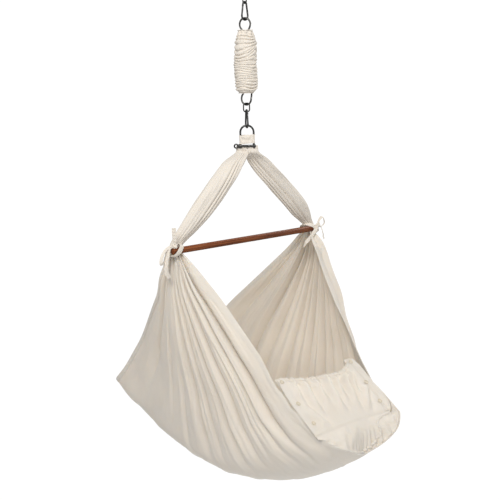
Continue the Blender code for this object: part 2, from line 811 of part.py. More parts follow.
def grid(u_count, v_first, v_last, v_count, depth=0.0, u_first=0.0, u_last=1.0):
    rows = []
    for row in range(v_count + 1):
        v = v_first + (v_last - v_first) * row / v_count
        rows.append([
            inside_bed(u_first + (u_last - u_first) * column / u_count, v, depth)
            for column in range(u_count + 1)
        ])
    return rows


def side_panels():
    for name, side in (("side_panel_left", -1.0), ("side_panel_right", 1.0)):
        rows = grid(12, side * (1.0 - PANEL_TOP), side * (1.0 - PANEL_END), 9)
        panel = sheet(name, rows, CLOTH, lambda point, side=side: Vector((side, 0.0, 0.0)))
        finish(panel, CANVAS)


def bed_base():
    edge = 1.0 - BASE_START
    rows = grid(BASE_CELLS, -edge, edge, BASE_CELLS)
    finish(sheet("bed_base", rows, CLOTH, from_bar), CANVAS)


def pocket_grid(depth):
    """The bed's middle: half the base's width, and one cell or more short of its two edges."""
    half = (1.0 - BASE_START) / 2.0
    margin = 1.0 / BASE_CELLS
    rows = grid(BASE_CELLS - 2, -half, half, BASE_CELLS // 2, depth, margin, 1.0 - margin)
    for row in rows:
        row[-1] = row[-2].lerp(row[-1], HEAD_TRIM)
    return rows


def mattress():
    """A foam mattress in the pocket between the base and the inner sheet."""
    rows = pocket_grid(CLOTH + POCKET_PLAY)
    finish(sheet("mattress", rows, FOAM_THICK, from_bar), FOAM)


def inner_sheet():
    rows = pocket_grid(CLOTH + 2.0 * POCKET_PLAY + FOAM_THICK)
    finish(sheet("inner_sheet", rows, SHEET_THICK, from_bar), CANVAS)


# ---------------------------------------------------------------- foot flap and buttons


def flap_frame():
    """Matrix of the flap's plane: local X along the bar, local Y from the hinge up the flap,
    local Z out of its outer face; its origin is the hinge."""
    up = Vector((0.0, FLAP_TOP[0] - FLAP_HINGE[0], FLAP_TOP[1] - FLAP_HINGE[1])).normalized()
    along = Vector((1.0, 0.0, 0.0))
    out = along.cross(up)
    matrix = Matrix((along, up, out)).transposed().to_4x4()
    matrix.translation = Vector((0.0, FLAP_HINGE[0], -BAR_DROP + FLAP_HINGE[1]))
    return matrix


FLAP_LENGTH = math.hypot(FLAP_TOP[0] - FLAP_HINGE[0], FLAP_TOP[1] - FLAP_HINGE[1])
BUTTON_ROWS = (0.040, 0.112, 0.192)
BUTTON_OUT = (0.1440, 0.1475, 0.1490)


def foot_flap():
    """The buttoned foot flap, with a round window where each button stands through it."""
    outline = [
        (-0.128, 0.001), (0.128, 0.001), (0.156, 0.032), (0.160, FLAP_LENGTH - 0.004),
        (0.156, FLAP_LENGTH), (-0.156, FLAP_LENGTH), (-0.160, FLAP_LENGTH - 0.004), (-0.156, 0.032),
    ]
    rings = [[Vector((x, y, z)) for x, y in outline] for z in (0.0, FLAP_THICK)]
    flap = loft("foot_flap", rings)
    flap.matrix_world = flap_frame()

    def windows(work):
        for out, row in zip(BUTTON_OUT, BUTTON_ROWS):
            for side in (-1.0, 1.0):
                add_cylinder(work, WINDOW_RADIUS, 0.02, 20, Matrix.Translation((side * out, row, 0.0)))

    cutter = as_cutter(primitive("flap_windows", windows))
    cutter.matrix_world = flap_frame()
    boolean(flap, cutter)
    finish(flap, CANVAS, smooth=False)


def flap_elastic():
    """The elastic band that gathers the flap's top edge, along the edge of the hem."""
    def band(work):
        add_box(work, (0.262, 0.0030, 0.0022), (0.0, FLAP_LENGTH + 0.0022, FLAP_THICK / 2.0))

    elastic = primitive("flap_elastic", band)
    elastic.matrix_world = flap_frame()
    finish(elastic, RUBBER, smooth=False)


def foot_gusset():
    """The wall between the base's foot edge and the flap's hinge seam."""
    columns = 10
    seam_half = 0.128
    reach = 0.160
    lower_row = []
    upper_row = []
    for column in range(columns + 1):
        share = 2.0 * column / columns - 1.0
        lower_row.append(inside_bed(0.030, reach * share, CLOTH + 0.008))
        seam = Vector((seam_half * share, FLAP_HINGE[0], -BAR_DROP + FLAP_HINGE[1]))
        upper_row.append(seam + Vector((0.0, -0.003, -0.005)))
    middle_row = [low.lerp(high, 0.5) for low, high in zip(lower_row, upper_row)]
    rows = [lower_row, middle_row, upper_row]
    finish(sheet("foot_gusset", rows, SHEET_THICK, lambda point: Vector((0.0, -1.0, 0.0))), CANVAS)


def button_bands():
    """Doubled canvas along each panel's foot edge, under the flap's sides."""
    for name, side in (("button_band_left", -1.0), ("button_band_right", 1.0)):
        def strip(work, side=side):
            add_box(work, (0.026, 0.172, 0.002), (side * 0.1475, 0.120, -0.0016))

        band = primitive(name, strip)
        band.matrix_world = flap_frame()
        finish(band, CANVAS, smooth=False)


def buttons():
    profile = [
        (0.0, 0.0046), (0.0045, 0.0046), (0.0058, 0.0052), (BUTTON_RADIUS, 0.0046), (BUTTON_RADIUS, 0.0034),
        (0.0050, 0.0026), (0.0022, 0.0026), (0.0022, -GAP), (0.0, -GAP),
    ]
    number = 0
    for side_name, side in (("left", -1.0), ("right", 1.0)):
        for row_name, out, row in zip(("low", "middle", "top"), BUTTON_OUT, BUTTON_ROWS):
            number += 1
            button = turned(f"button_{side_name}_{row_name}", profile, 12)
            button.matrix_world = flap_frame() @ Matrix.Translation((side * out, row, 0.0))
            finish(button, SHELL)


# ---------------------------------------------------------------- build

ceiling_plate()
ceiling_screws()
ceiling_eye()
chain_links()
spring_hook("upper_hook", UPPER_HOOK_TOP, UPPER_HOOK_TURN)
extension_spring()
spring_cover()
cover_ties()
oval_link()
spring_hook("lower_hook", LOWER_HOOK_TOP, LOWER_HOOK_TURN)
shackle_bow()
shackle_pin()
yoke_tab()
strap("yoke_strap_left", -1.0)
strap("yoke_strap_right", 1.0)
spreader_bar()
tie("left", -1.0)
tie("right", 1.0)
side_panels()
bed_base()
mattress()
inner_sheet()
foot_flap()
flap_elastic()
foot_gusset()
button_bands()
buttons()
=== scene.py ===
"""The looks of the sprung baby hammock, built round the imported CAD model.

Metres, +Z up, in the CAD model's frame: X runs along the spreader bar, the head end of the bed is
at +Y, the buttoned foot end at -Y, and the origin is the ceiling plate's top face.
"""

import math

import bmesh
import bpy
import numpy as np
from mathutils import Matrix, Vector


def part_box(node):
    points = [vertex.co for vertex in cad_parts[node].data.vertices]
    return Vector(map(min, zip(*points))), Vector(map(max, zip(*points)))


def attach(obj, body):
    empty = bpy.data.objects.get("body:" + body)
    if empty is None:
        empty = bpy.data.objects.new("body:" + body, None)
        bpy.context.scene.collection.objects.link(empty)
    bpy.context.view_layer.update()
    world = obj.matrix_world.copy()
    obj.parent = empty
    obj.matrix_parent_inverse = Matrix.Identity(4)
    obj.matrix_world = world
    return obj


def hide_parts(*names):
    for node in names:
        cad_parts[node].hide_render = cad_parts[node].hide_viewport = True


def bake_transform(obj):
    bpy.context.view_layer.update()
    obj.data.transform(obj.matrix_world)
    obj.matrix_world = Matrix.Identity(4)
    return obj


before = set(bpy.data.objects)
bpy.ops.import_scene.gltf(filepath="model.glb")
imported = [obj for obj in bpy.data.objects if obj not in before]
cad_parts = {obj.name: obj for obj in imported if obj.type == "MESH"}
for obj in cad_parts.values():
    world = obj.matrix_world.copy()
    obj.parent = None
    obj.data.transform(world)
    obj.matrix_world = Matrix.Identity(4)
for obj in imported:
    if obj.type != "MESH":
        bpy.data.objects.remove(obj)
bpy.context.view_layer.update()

# ---------------------------------------------------------------- measures taken from the frame

BAR_LOW, BAR_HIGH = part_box("spreader_bar")
BAR_Z = (BAR_LOW.z + BAR_HIGH.z) / 2.0
BAR_HALF = BAR_HIGH.x
BAR_RADIUS = (BAR_HIGH.z - BAR_LOW.z) / 2.0
BAR = np.array([0.0, 0.0, BAR_Z])

# turn of each hanging piece about the vertical, in degrees from the bar
EYE_TURN = 10.0
LINK_TURNS = (-80.0, 10.0, -80.0)
UPPER_HOOK_TURN = 0.0
UPPER_LOOP_TURN = -60.0
LOWER_LOOP_TURN = -74.0
OVAL_TURN = -14.0
LOWER_HOOK_TURN = 62.0
SHACKLE_TURN = -42.0

# half of the bed's cross-section, (distance from the middle, distance below the bar), at the foot
# edge, in the middle and at the head edge, from the bar end to the keel
FOOT_SECTION = [
    (0.258, 0.0), (0.245, 0.085), (0.220, 0.18), (0.200, 0.29), (0.186, 0.38),
    (0.176, 0.49), (0.173, 0.606), (0.120, 0.708), (0.0, 0.734),
]
MIDDLE_SECTION = [
    (0.285, 0.0), (0.302, 0.10), (0.284, 0.22), (0.256, 0.34), (0.226, 0.45),
    (0.204, 0.56), (0.172, 0.654), (0.100, 0.714), (0.0, 0.732),
]
HEAD_SECTION = [
    (0.300, 0.0), (0.298, 0.11), (0.270, 0.22), (0.236, 0.34), (0.204, 0.45),
    (0.188, 0.56), (0.162, 0.670), (0.092, 0.723), (0.0, 0.736),
]

# how far the bed's edges swing from straight below the bar, and where its gathered necks sit
HEAD_ANGLE = math.radians(45.0)
FOOT_ANGLE = math.radians(38.5)
NECK_OUT = 0.278
NECK_BEHIND = 0.021
CLOTH = 0.0012
SIDES = (("left", -1.0), ("right", 1.0))

# the flap's hinge and the middle of its top, (Y, height above the bar); its rows of buttons up the
# flap, and how far out each row is from the middle
FLAP_HINGE = (-0.425, -0.491)
FLAP_TOP = (-0.262, -0.357)
FLAP_LENGTH = math.hypot(FLAP_TOP[0] - FLAP_HINGE[0], FLAP_TOP[1] - FLAP_HINGE[1])
BUTTON_ROWS = (0.040, 0.112, 0.192)
BUTTON_OUT = (0.1440, 0.1475, 0.1490)

# ---------------------------------------------------------------- camera


def camera():
    """The photograph's viewpoint: from the foot end's left, a little above the bar."""
    data = bpy.data.cameras.new("camera")
    data.lens = 80.5
    data.sensor_width = 36.0
    made = bpy.data.objects.new("camera", data)
    bpy.context.scene.collection.objects.link(made)
    made.location = (-2.337, -2.433, BAR_Z + 0.526)
    aim = Vector((0.684, 0.711, -0.164)).to_track_quat("-Z", "Y").to_matrix().to_4x4()
    roll = Matrix.Rotation(math.radians(-1.045), 4, "Z")
    made.rotation_euler = (aim @ roll).to_euler()
    bpy.context.scene.camera = made


camera()

# ---------------------------------------------------------------- materials


class Nodes:
    """A material's node tree, built by name with links as keyword values."""

    def __init__(self, name):
        self.material = bpy.data.materials.new(name)
        self.material.use_nodes = True
        self.tree = self.material.node_tree
        self.shader = self.tree.nodes["Principled BSDF"]

    def add(self, kind, settings=None, **inputs):
        node = self.tree.nodes.new("ShaderNode" + kind)
        for key, value in (settings or {}).items():
            setattr(node, key, value)
        for key, value in inputs.items():
            self.set(node, key.replace("_", " "), value)
        return node

    def set(self, node, key, value):
        socket = node.inputs[int(key)] if key.isdigit() else node.inputs[key]
        if isinstance(value, bpy.types.NodeSocket):
            self.tree.links.new(value, socket)
        else:
            socket.default_value = value

    def math(self, operation, first, second=0.0, third=0.0):
        node = self.add("Math", {"operation": operation})
        for index, value in enumerate((first, second, third)):
            self.set(node, str(index), value)
        return node.outputs[0]

    def noise(self, where, scale, detail=3.0, roughness=0.5):
        node = self.add("TexNoise", Vector=where, Scale=scale, Detail=detail, Roughness=roughness)
        return node.outputs["Fac"]

    def ramp(self, value, stops):
        node = self.add("ValToRGB", Fac=value)
        ramp = node.color_ramp
        while len(ramp.elements) < len(stops):
            ramp.elements.new(0.5)
        for element, (position, colour) in zip(ramp.elements, stops):
            element.position = position
            element.color = (*colour, 1.0) if len(colour) == 3 else colour
        return node.outputs["Color"]

    def scalar_ramp(self, value, stops):
        return self.ramp(value, [(place, (level,) * 3) for place, level in stops])

    def bump(self, height, strength, distance):
        node = self.add("Bump", Height=height, Strength=strength, Distance=distance)
        self.tree.links.new(node.outputs["Normal"], self.shader.inputs["Normal"])

    def solid(self):
        """The place in the object's own space, so that a pattern stays with its piece."""
        return self.add("TexCoord").outputs["Object"]

    def stretched(self, vector, scale):
        node = self.add("Mapping", Vector=vector)
        node.inputs["Scale"].default_value = scale
        return node.outputs[0]

    def mix(self, share, first, second):
        node = self.add("Mix", {"data_type": "RGBA", "blend_type": "MIX"})
        for key, value in (("0", share), ("6", first), ("7", second)):
            self.set(node, key, value)
        return node.outputs[2]

    def colour(self, value):
        self.set(self.shader, "Base Color", value)

    def roughness(self, value):
        self.set(self.shader, "Roughness", value)

    def surface(self, **values):
        """Sets the shader's plain values, such as its sheen, coat and metal."""
        for key, value in values.items():
            self.shader.inputs[key.replace("_", " ")].default_value = value


def scaled(colour, factor):
    return tuple(min(1.0, channel * factor) for channel in colour)


def cloth_material(name, colour, thread=0.0007, bump=0.5, slub=0.05, through=0.45):
    """Plain-woven unbleached cotton. The weave runs along the cloth, from the point attribute
    "weave", which holds the place on the flat cloth in metres."""
    n = Nodes(name)
    flat = n.add("Attribute", {"attribute_name": "weave"}).outputs["Vector"]
    split = n.add("SeparateXYZ", Vector=flat)
    turns = 2.0 * math.pi / thread
    warp = n.math("SINE", n.math("MULTIPLY", split.outputs["X"], turns))
    weft = n.math("SINE", n.math("MULTIPLY", split.outputs["Y"], turns))
    weave = n.math("MULTIPLY", warp, weft)
    solid = n.solid()
    lengthways = n.noise(n.stretched(flat, (40.0, 900.0, 1.0)), 1.0, 2.0)
    crossways = n.noise(n.stretched(flat, (900.0, 40.0, 1.0)), 1.0, 2.0)
    slubs = n.math("ADD", lengthways, crossways)
    blotches = n.noise(solid, 9.0, 4.0)
    creases = n.noise(solid, 55.0, 3.0, 0.6)
    specks = n.noise(solid, 900.0, 1.0)
    tone = n.math("MULTIPLY_ADD", blotches, 0.16, n.math("MULTIPLY", creases, 0.04))
    tone = n.math("MULTIPLY_ADD", slubs, slub, tone)
    tone = n.math("MULTIPLY_ADD", weave, 0.02, tone)
    mixed = n.ramp(tone, [(0.06, scaled(colour, 0.93)), (0.17, colour), (0.30, scaled(colour, 1.05))])
    speckle = n.scalar_ramp(specks, [(0.74, 0.0), (0.80, 1.0)])
    n.colour(n.mix(n.math("MULTIPLY", speckle, 0.25), mixed, (*scaled(colour, 0.62), 1.0)))
    n.roughness(n.scalar_ramp(slubs, [(0.3, 0.82), (1.4, 0.95)]))
    height = n.math("MULTIPLY_ADD", slubs, 0.7, n.math("MULTIPLY", creases, 0.35))
    n.bump(n.math("MULTIPLY_ADD", weave, 0.35, height), bump, 0.0005)
    n.surface(
        Sheen_Weight=0.12, Sheen_Roughness=0.5, Specular_IOR_Level=0.25, Subsurface_Weight=through,
        Subsurface_Radius=(1.0, 0.85, 0.65), Subsurface_Scale=0.0022,
    )
    return n.material


def steel_material(name, colour, roughness, dark=0.45):
    """Plated steel wire with a drawn surface, dulled in patches."""
    n = Nodes(name)
    solid = n.solid()
    patches = n.noise(solid, 160.0, 4.0, 0.6)
    fine = n.noise(solid, 2600.0, 2.0)
    n.colour(n.ramp(patches, [(0.34, scaled(colour, dark)), (0.52, colour), (0.70, scaled(colour, 1.35))]))
    n.roughness(n.scalar_ramp(patches, [(0.3, roughness + 0.16), (0.7, roughness)]))
    n.bump(n.math("MULTIPLY_ADD", fine, 0.4, patches), 0.25, 0.0003)
    n.surface(Metallic=1.0)
    return n.material


def wood_material(name):
    """Stained, varnished hardwood with its grain along the bar."""
    n = Nodes(name)
    solid = n.solid()
    grain = n.noise(n.stretched(solid, (9.0, 260.0, 260.0)), 1.0, 5.0, 0.62)
    pores = n.noise(n.stretched(solid, (60.0, 1500.0, 1500.0)), 1.0, 2.0)
    broad = n.noise(solid, 7.0, 2.0)
    shade = n.math("ADD", n.math("MULTIPLY", grain, 0.75), n.math("MULTIPLY", broad, 0.35))
    brown = n.ramp(shade, [
        (0.38, (0.064, 0.015, 0.005)), (0.50, (0.140, 0.035, 0.009)), (0.60, (0.205, 0.057, 0.015)),
        (0.72, (0.280, 0.087, 0.024)),
    ])
    pore_mask = n.scalar_ramp(pores, [(0.34, 1.0), (0.44, 0.0)])
    n.colour(n.mix(n.math("MULTIPLY", pore_mask, 0.55), brown, (0.060, 0.014, 0.006, 1.0)))
    n.roughness(n.scalar_ramp(grain, [(0.3, 0.60), (0.7, 0.45)]))
    n.bump(n.math("SUBTRACT", grain, n.math("MULTIPLY", pore_mask, 0.5)), 0.25, 0.0003)
    n.surface(Specular_IOR_Level=0.30, Coat_Weight=0.05, Coat_Roughness=0.30)
    return n.material


def button_material(name, colour):
    """Pearly resin: faint swirls of lighter and darker cream under a hard shine."""
    n = Nodes(name)
    solid = n.solid()
    bent = n.noise(solid, 130.0, 3.0)
    swirl = n.noise(solid, 320.0, 4.0, 0.6)
    tone = n.math("ADD", n.math("MULTIPLY", bent, 0.6), n.math("MULTIPLY", swirl, 0.4))
    n.colour(n.ramp(tone, [(0.36, scaled(colour, 0.78)), (0.52, colour), (0.68, scaled(colour, 1.15))]))
    n.roughness(n.scalar_ramp(swirl, [(0.3, 0.30), (0.7, 0.18)]))
    n.bump(swirl, 0.10, 0.0003)
    n.surface(Coat_Weight=0.3)
    return n.material


def thread_material(name, colour, twist=0.0009):
    """Sewing thread and cord: twisted yarn with a little fuzz."""
    n = Nodes(name)
    solid = n.solid()
    fuzz = n.noise(solid, 1800.0, 3.0, 0.6)
    bands = {"bands_direction": "DIAGONAL"}
    plies = n.add("TexWave", bands, Vector=solid, Scale=2 * math.pi / (20 * twist), Distortion=1.5)
    n.colour(n.ramp(fuzz, [(0.3, scaled(colour, 0.82)), (0.7, scaled(colour, 1.06))]))
    n.roughness(n.scalar_ramp(fuzz, [(0.3, 0.75), (0.7, 0.95)]))
    n.bump(n.math("ADD", plies.outputs["Fac"], fuzz), 0.5, 0.0003)
    n.surface(Sheen_Weight=0.1)
    return n.material


def floor_material():
    """Matt and nearly white, with a faint glow of its own that keeps it pale away from the lamps."""
    n = Nodes("floor")
    n.colour(n.ramp(n.noise(n.solid(), 1.2, 3.0), [(0.3, (0.86, 0.86, 0.86)), (0.7, (0.90, 0.90, 0.90))]))
    n.surface(Roughness=0.9, Emission_Color=(1.0, 1.0, 1.0, 1.0), Emission_Strength=0.08)
    return n.material


CALICO_COLOUR = (0.775, 0.718, 0.645)
CALICO = cloth_material("calico", CALICO_COLOUR)
STRAP_CLOTH = cloth_material("strap_calico", CALICO_COLOUR, bump=0.3, through=0.1)
SLEEVE_CLOTH = cloth_material("sleeve_calico", scaled(CALICO_COLOUR, 1.02), bump=0.4, through=0.1)
TAPE = cloth_material("cotton_tape", scaled(CALICO_COLOUR, 1.03), thread=0.0009, bump=0.5, through=0.1)
FOAM_TICKING = cloth_material("mattress_ticking", scaled(CALICO_COLOUR, 1.10), thread=0.0010, bump=0.6)
ELASTIC = cloth_material("elastic_braid", scaled(CALICO_COLOUR, 0.95), thread=0.0011, bump=0.9)
THREAD = thread_material("sewing_thread", scaled(CALICO_COLOUR, 1.04))
CORD = thread_material("draw_cord", scaled(CALICO_COLOUR, 1.05), 0.0016)
# STEEL and SPRING_STEEL get very dark base colours that stand in for dark surroundings mirrored in the steel:
# painted dark reflection, not the metal's own colour.
STEEL = steel_material("plated_steel", (0.085, 0.085, 0.084), 0.30)
SPRING_STEEL = steel_material("spring_steel", (0.130, 0.128, 0.124), 0.28)
PLATE_STEEL = steel_material("plate_steel", (0.420, 0.420, 0.410), 0.34, 0.75)
WOOD = wood_material("stained_hardwood")
BUTTON = button_material("pearl_button", (0.72, 0.64, 0.50))

# ---------------------------------------------------------------- mesh helpers


def unit(vectors):
    return vectors / np.linalg.norm(vectors, axis=-1, keepdims=True)


def xyz(x, y, z):
    """Points from their coordinates, each one a number or an array."""
    return np.stack(np.broadcast_arrays(x, y, z), axis=-1)


def circle(count):
    """Evenly spaced angles round a full turn, the last one short of the first."""
    return np.linspace(0, 2 * math.pi, count + 1)[:-1]


def smoothstep(value):
    value = np.clip(value, 0.0, 1.0)
    return value * value * (3.0 - 2.0 * value)


def rise(value, start, over):
    """Climbs smoothly from 0 at start to 1, over a stretch."""
    return smoothstep((value - start) / over)


def fall(value, start, over):
    """Drops smoothly from 1 at start to 0, over a stretch."""
    return 1.0 - rise(value, start, over)


def hill(value, centre, width):
    """A smooth hill of height 1."""
    return np.exp(-(((value - centre) / width) ** 2))


def link(name, mesh, material, sharp=40.0):
    """An object for a mesh, smooth but for edges sharper than an angle in degrees."""
    obj = bpy.data.objects.new(name, mesh)
    bpy.context.scene.collection.objects.link(obj)
    obj.data.materials.clear()
    obj.data.materials.append(material)
    mesh.shade_smooth()
    mesh.set_sharp_from_angle(angle=math.radians(sharp))
    return obj


def fixed(piece, body, *nodes, slot="canvas"):
    """Rides a piece on its body, in place of the CAD nodes it stands for. Its colour slot argument is not
    used.
    """
    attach(piece, body)
    if nodes:
        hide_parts(*nodes)
    return piece


def from_faces(name, points, faces, material, sharp=40.0):
    mesh = bpy.data.meshes.new(name)
    mesh.from_pydata(np.asarray(points, float).tolist(), [], faces)
    mesh.update()
    return link(name, mesh, material, sharp=sharp)


def grid_faces(rows, columns, wrap=False):
    index = np.arange(rows * columns).reshape(rows, columns)
    if wrap:
        index = np.concatenate([index, index[:, :1]], axis=1)
    quads = np.stack([index[:-1, :-1], index[:-1, 1:], index[1:, 1:], index[1:, :-1]], axis=-1)
    return quads.reshape(-1, 4).tolist()


def add_weave(obj, flat):
    """Stores the place of each point on the flat cloth, in metres."""
    attribute = obj.data.attributes.new("weave", "FLOAT_VECTOR", "POINT")
    values = np.zeros((len(obj.data.vertices), 3), np.float32)
    values[:, :2] = np.asarray(flat, float).reshape(-1, 2)
    attribute.data.foreach_set("vector", values.ravel())


def flat_of(points):
    """The place on the flat cloth of each point of a grid: distances run along its rows and columns."""
    across = np.zeros(points.shape[:2])
    along = np.zeros(points.shape[:2])
    middle_row = points[points.shape[0] // 2]
    steps = np.linalg.norm(np.diff(middle_row, axis=0), axis=1)
    across[:, 1:] = np.cumsum(steps)[None, :]
    steps = np.linalg.norm(np.diff(points, axis=0), axis=2)
    along[1:] = np.cumsum(steps, axis=0)
    return np.stack([across, along], axis=-1)


def cloth(name, points, material, thickness=CLOTH, wrap=False):
    """A sheet of cloth from a grid of points, given its thickness as real geometry."""
    points = np.asarray(points, float)
    sharp = 70.0
    obj = from_faces(name, points.reshape(-1, 3), grid_faces(*points.shape[:2], wrap), material, sharp)
    add_weave(obj, flat_of(points))
    solid = obj.modifiers.new("thickness", "SOLIDIFY")
    solid.thickness = thickness
    solid.offset = 0.0
    return settle(obj, sharp)


def settle(obj, sharp):
    """Applies the object's modifiers."""
    graph = bpy.context.evaluated_depsgraph_get()
    mesh = bpy.data.meshes.new_from_object(obj.evaluated_get(graph))
    obj.modifiers.clear()
    old = obj.data
    obj.data = mesh
    bpy.data.meshes.remove(old)
    obj.data.shade_smooth()
    obj.data.set_sharp_from_angle(angle=math.radians(sharp))
    return obj


def frames(points, closed=False):
    """Tangents and a twist-free pair of cross directions along a path."""
    points = np.asarray(points, float)
    if closed:
        tangents = np.roll(points, -1, 0) - np.roll(points, 1, 0)
    else:
        tangents = np.gradient(points, axis=0)
    tangents = unit(tangents)
    first = np.cross(tangents[0], (0.0, 0.0, 1.0))
    if np.linalg.norm(first) < 0.1:
        first = np.cross(tangents[0], (0.0, 1.0, 0.0))
    side = [unit(first)]
    for tangent in tangents[1:]:
        kept = side[-1] - tangent * side[-1].dot(tangent)
        side.append(unit(kept))
    side = np.array(side)
    if closed:
        last = side[-1] - tangents[0] * side[-1].dot(tangents[0])
        last = unit(last)
        slip = math.atan2(np.cross(side[0], last).dot(tangents[0]), side[0].dot(last))
        angles = -slip * np.arange(len(points)) / len(points)
        up = np.cross(tangents, side)
        side = side * np.cos(angles)[:, None] + up * np.sin(angles)[:, None]
    return tangents, side, np.cross(tangents, side)


def tube(name, points, radius, material, closed=False, sides=20):
    """A round wire or cord along a path, with closed, slightly domed ends."""
    points = np.asarray(points, float)
    radius = np.broadcast_to(np.asarray(radius, float), (len(points),)).copy()
    if not closed:
        tangents = np.gradient(points, axis=0)
        ends = [unit(tangents[0]), unit(tangents[-1])]
        bulge, shrink = 0.35, 0.72
        first = points[0] - ends[0] * radius[0] * bulge
        last = points[-1] + ends[1] * radius[-1] * bulge
        points = np.vstack([first, points, last])
        radius = np.concatenate([[radius[0] * shrink], radius, [radius[-1] * shrink]])
    _, side, up = frames(points, closed)
    angles = (2.0 * math.pi * np.arange(sides) / sides)[None, :, None]
    ring = side[:, None] * np.cos(angles) + up[:, None] * np.sin(angles)
    shell = points[:, None] + ring * radius[:, None, None]
    count = len(points)
    faces = grid_faces(count, sides, wrap=True)
    if closed:
        last = (count - 1) * sides
        faces += [(last + k, last + (k + 1) % sides, (k + 1) % sides, k) for k in range(sides)]
    else:
        faces.append(tuple(reversed(range(sides))))
        faces.append(tuple((count - 1) * sides + k for k in range(sides)))
    obj = from_faces(name, shell.reshape(-1, 3), faces, material, 50.0)
    fix_normals(obj)
    return obj


def fix_normals(obj):
    work = bmesh.new()
    work.from_mesh(obj.data)
    bmesh.ops.recalc_face_normals(work, faces=work.faces)
    work.to_mesh(obj.data)
    work.free()


def spline(a, b, c, d, f):
    """The Catmull-Rom curve from b to c, at the share f of the way."""
    return 0.5 * (2 * b + (c - a) * f + (2 * a - 5 * b + 4 * c - d) * f**2 + (3 * b - a - 3 * c + d) * f**3)


def smooth_path(points, per_span):
    """A smooth curve through the points."""
    points = np.asarray(points, float)
    knots = np.vstack([2 * points[0] - points[1], points, 2 * points[-1] - points[-2]])
    found = []
    for k in range(len(points) - 1):
        found += [spline(*knots[k:k + 4], step / per_span) for step in range(per_span)]
    return np.array(found + [points[-1]])


def joined(name, parts):
    """One object from several with the same material."""
    work = bmesh.new()
    for part in parts:
        part.data.transform(part.matrix_world)
        work.from_mesh(part.data)
    mesh = bpy.data.meshes.new(name)
    work.to_mesh(mesh)
    work.free()
    material = parts[0].data.materials[0]
    for part in parts:
        bpy.data.objects.remove(part, do_unlink=True)
    return link(name, mesh, material)


def turn(degrees):
    return np.array(Matrix.Rotation(math.radians(degrees), 3, "Z"))


def placed(points, where, degrees=0.0):
    return np.asarray(points, float) @ turn(degrees).T + np.asarray(where, float)


def arc(centre, radius, first, last, count):
    """Points of an arc in the XZ plane, angles in degrees from +X towards +Z."""
    angles = np.radians(np.linspace(first, last, count + 1))
    return xyz(centre[0] + radius * np.cos(angles), 0.0, centre[1] + radius * np.sin(angles))


def stitches(name, path, normals, pitch=0.0042, long=0.0028):
    """A row of sewn stitches along a path, each one a short bead of thread sunk at both ends."""
    radius, sides = 0.00045, 6
    # down one stitch: place along it, thickness and height, in shares of its length and radius
    shape = [(-0.5, 0.25, -0.5), (-0.32, 0.9, 0.0), (0.0, 1.0, 0.35), (0.32, 0.9, 0.0), (0.5, 0.25, -0.5)]
    path, normals = np.asarray(path, float), np.asarray(normals, float)
    lengths = np.concatenate([[0.0], np.cumsum(np.linalg.norm(np.diff(path, axis=0), axis=1))])

    def at(length, values):
        return np.array([np.interp(length, lengths, values[:, axis]) for axis in range(3)])

    points = []
    faces = []
    for number in range(int(lengths[-1] / pitch)):
        centre_at = (number + 0.5) * pitch
        centre = at(centre_at, path)
        normal = unit(at(centre_at, normals))
        along = unit(at(centre_at + pitch / 2, path) - at(centre_at - pitch / 2, path))
        across = np.cross(along, normal)
        first = len(points)
        for where, thick, height in shape:
            middle = centre + along * long * where + normal * (radius * height)
            for angle in 2 * math.pi * np.arange(sides) / sides:
                points.append(middle + radius * thick * (across * math.cos(angle) + normal * math.sin(angle)))
        last = first + (len(shape) - 1) * sides
        faces += [tuple(first + k for k in face) for face in grid_faces(len(shape), sides, wrap=True)]
        faces.append(tuple(first + k for k in reversed(range(sides))))
        faces.append(tuple(last + k for k in range(sides)))
    obj = from_faces(name, points, faces, THREAD, 60.0)
    fix_normals(obj)
    return obj


def waves(x, y, seed, count=24, low=1.0, high=4.0):
    """Smooth unit noise from a seeded sum of waves; x and y are in cycles."""
    rng = np.random.default_rng(seed)
    total = np.zeros(np.broadcast(x, y).shape)
    for _ in range(count):
        frequency = low * (high / low) ** rng.random()
        angle = 2 * math.pi * rng.random()
        phase = 2 * math.pi * rng.random()
        ahead = x * math.cos(angle) + y * math.sin(angle)
        total += np.sin(2 * math.pi * frequency * ahead + phase) / frequency
    return total / math.sqrt(count / 2) * low


def ring_waves(angle, height, seed, count=24, turns=6, low=10.0, high=60.0):
    """Like waves, but periodic round a tube: whole numbers of waves in the turn."""
    rng = np.random.default_rng(seed)
    total = np.zeros(np.broadcast(angle, height).shape)
    for _ in range(count):
        total += np.sin(
            int(rng.integers(-turns, turns + 1)) * angle
            + 2 * math.pi * (low + (high - low) * rng.random()) * height + 2 * math.pi * rng.random()
        )
    return total / math.sqrt(count / 2)


def turned_solid(name, profile, steps, material, matrix=None, sharp=35.0):
    """A solid of revolution about Z from (radius, height) points, both ends on the axis."""
    points = []
    faces = []
    rings = []
    for radius, height in profile:
        count = steps if radius > 0.0 else 1
        rings.append([len(points) + k for k in range(count)])
        angles = 2 * math.pi * np.arange(count) / steps
        points += xyz(radius * np.cos(angles), radius * np.sin(angles), height).tolist()
    for first, second in zip(rings, rings[1:]):
        for k in range(steps):
            following = (k + 1) % steps
            if len(first) == 1:
                faces.append((first[0], second[k], second[following]))
            elif len(second) == 1:
                faces.append((first[k], second[0], first[following]))
            else:
                faces.append((first[k], second[k], second[following], first[following]))
    obj = from_faces(name, points, faces, material, sharp)
    fix_normals(obj)
    if matrix is not None:
        obj.data.transform(matrix)
    return obj


def boolean(obj, cutter, operation="DIFFERENCE", overlapping=True):
    """Cuts or joins a piece with a cutter, which is then removed."""
    modifier = obj.modifiers.new(operation.lower(), "BOOLEAN")
    modifier.operation = operation
    modifier.use_self = overlapping
    modifier.object = cutter
    bpy.context.view_layer.update()
    settle(obj, 35.0)
    bpy.data.objects.remove(cutter, do_unlink=True)


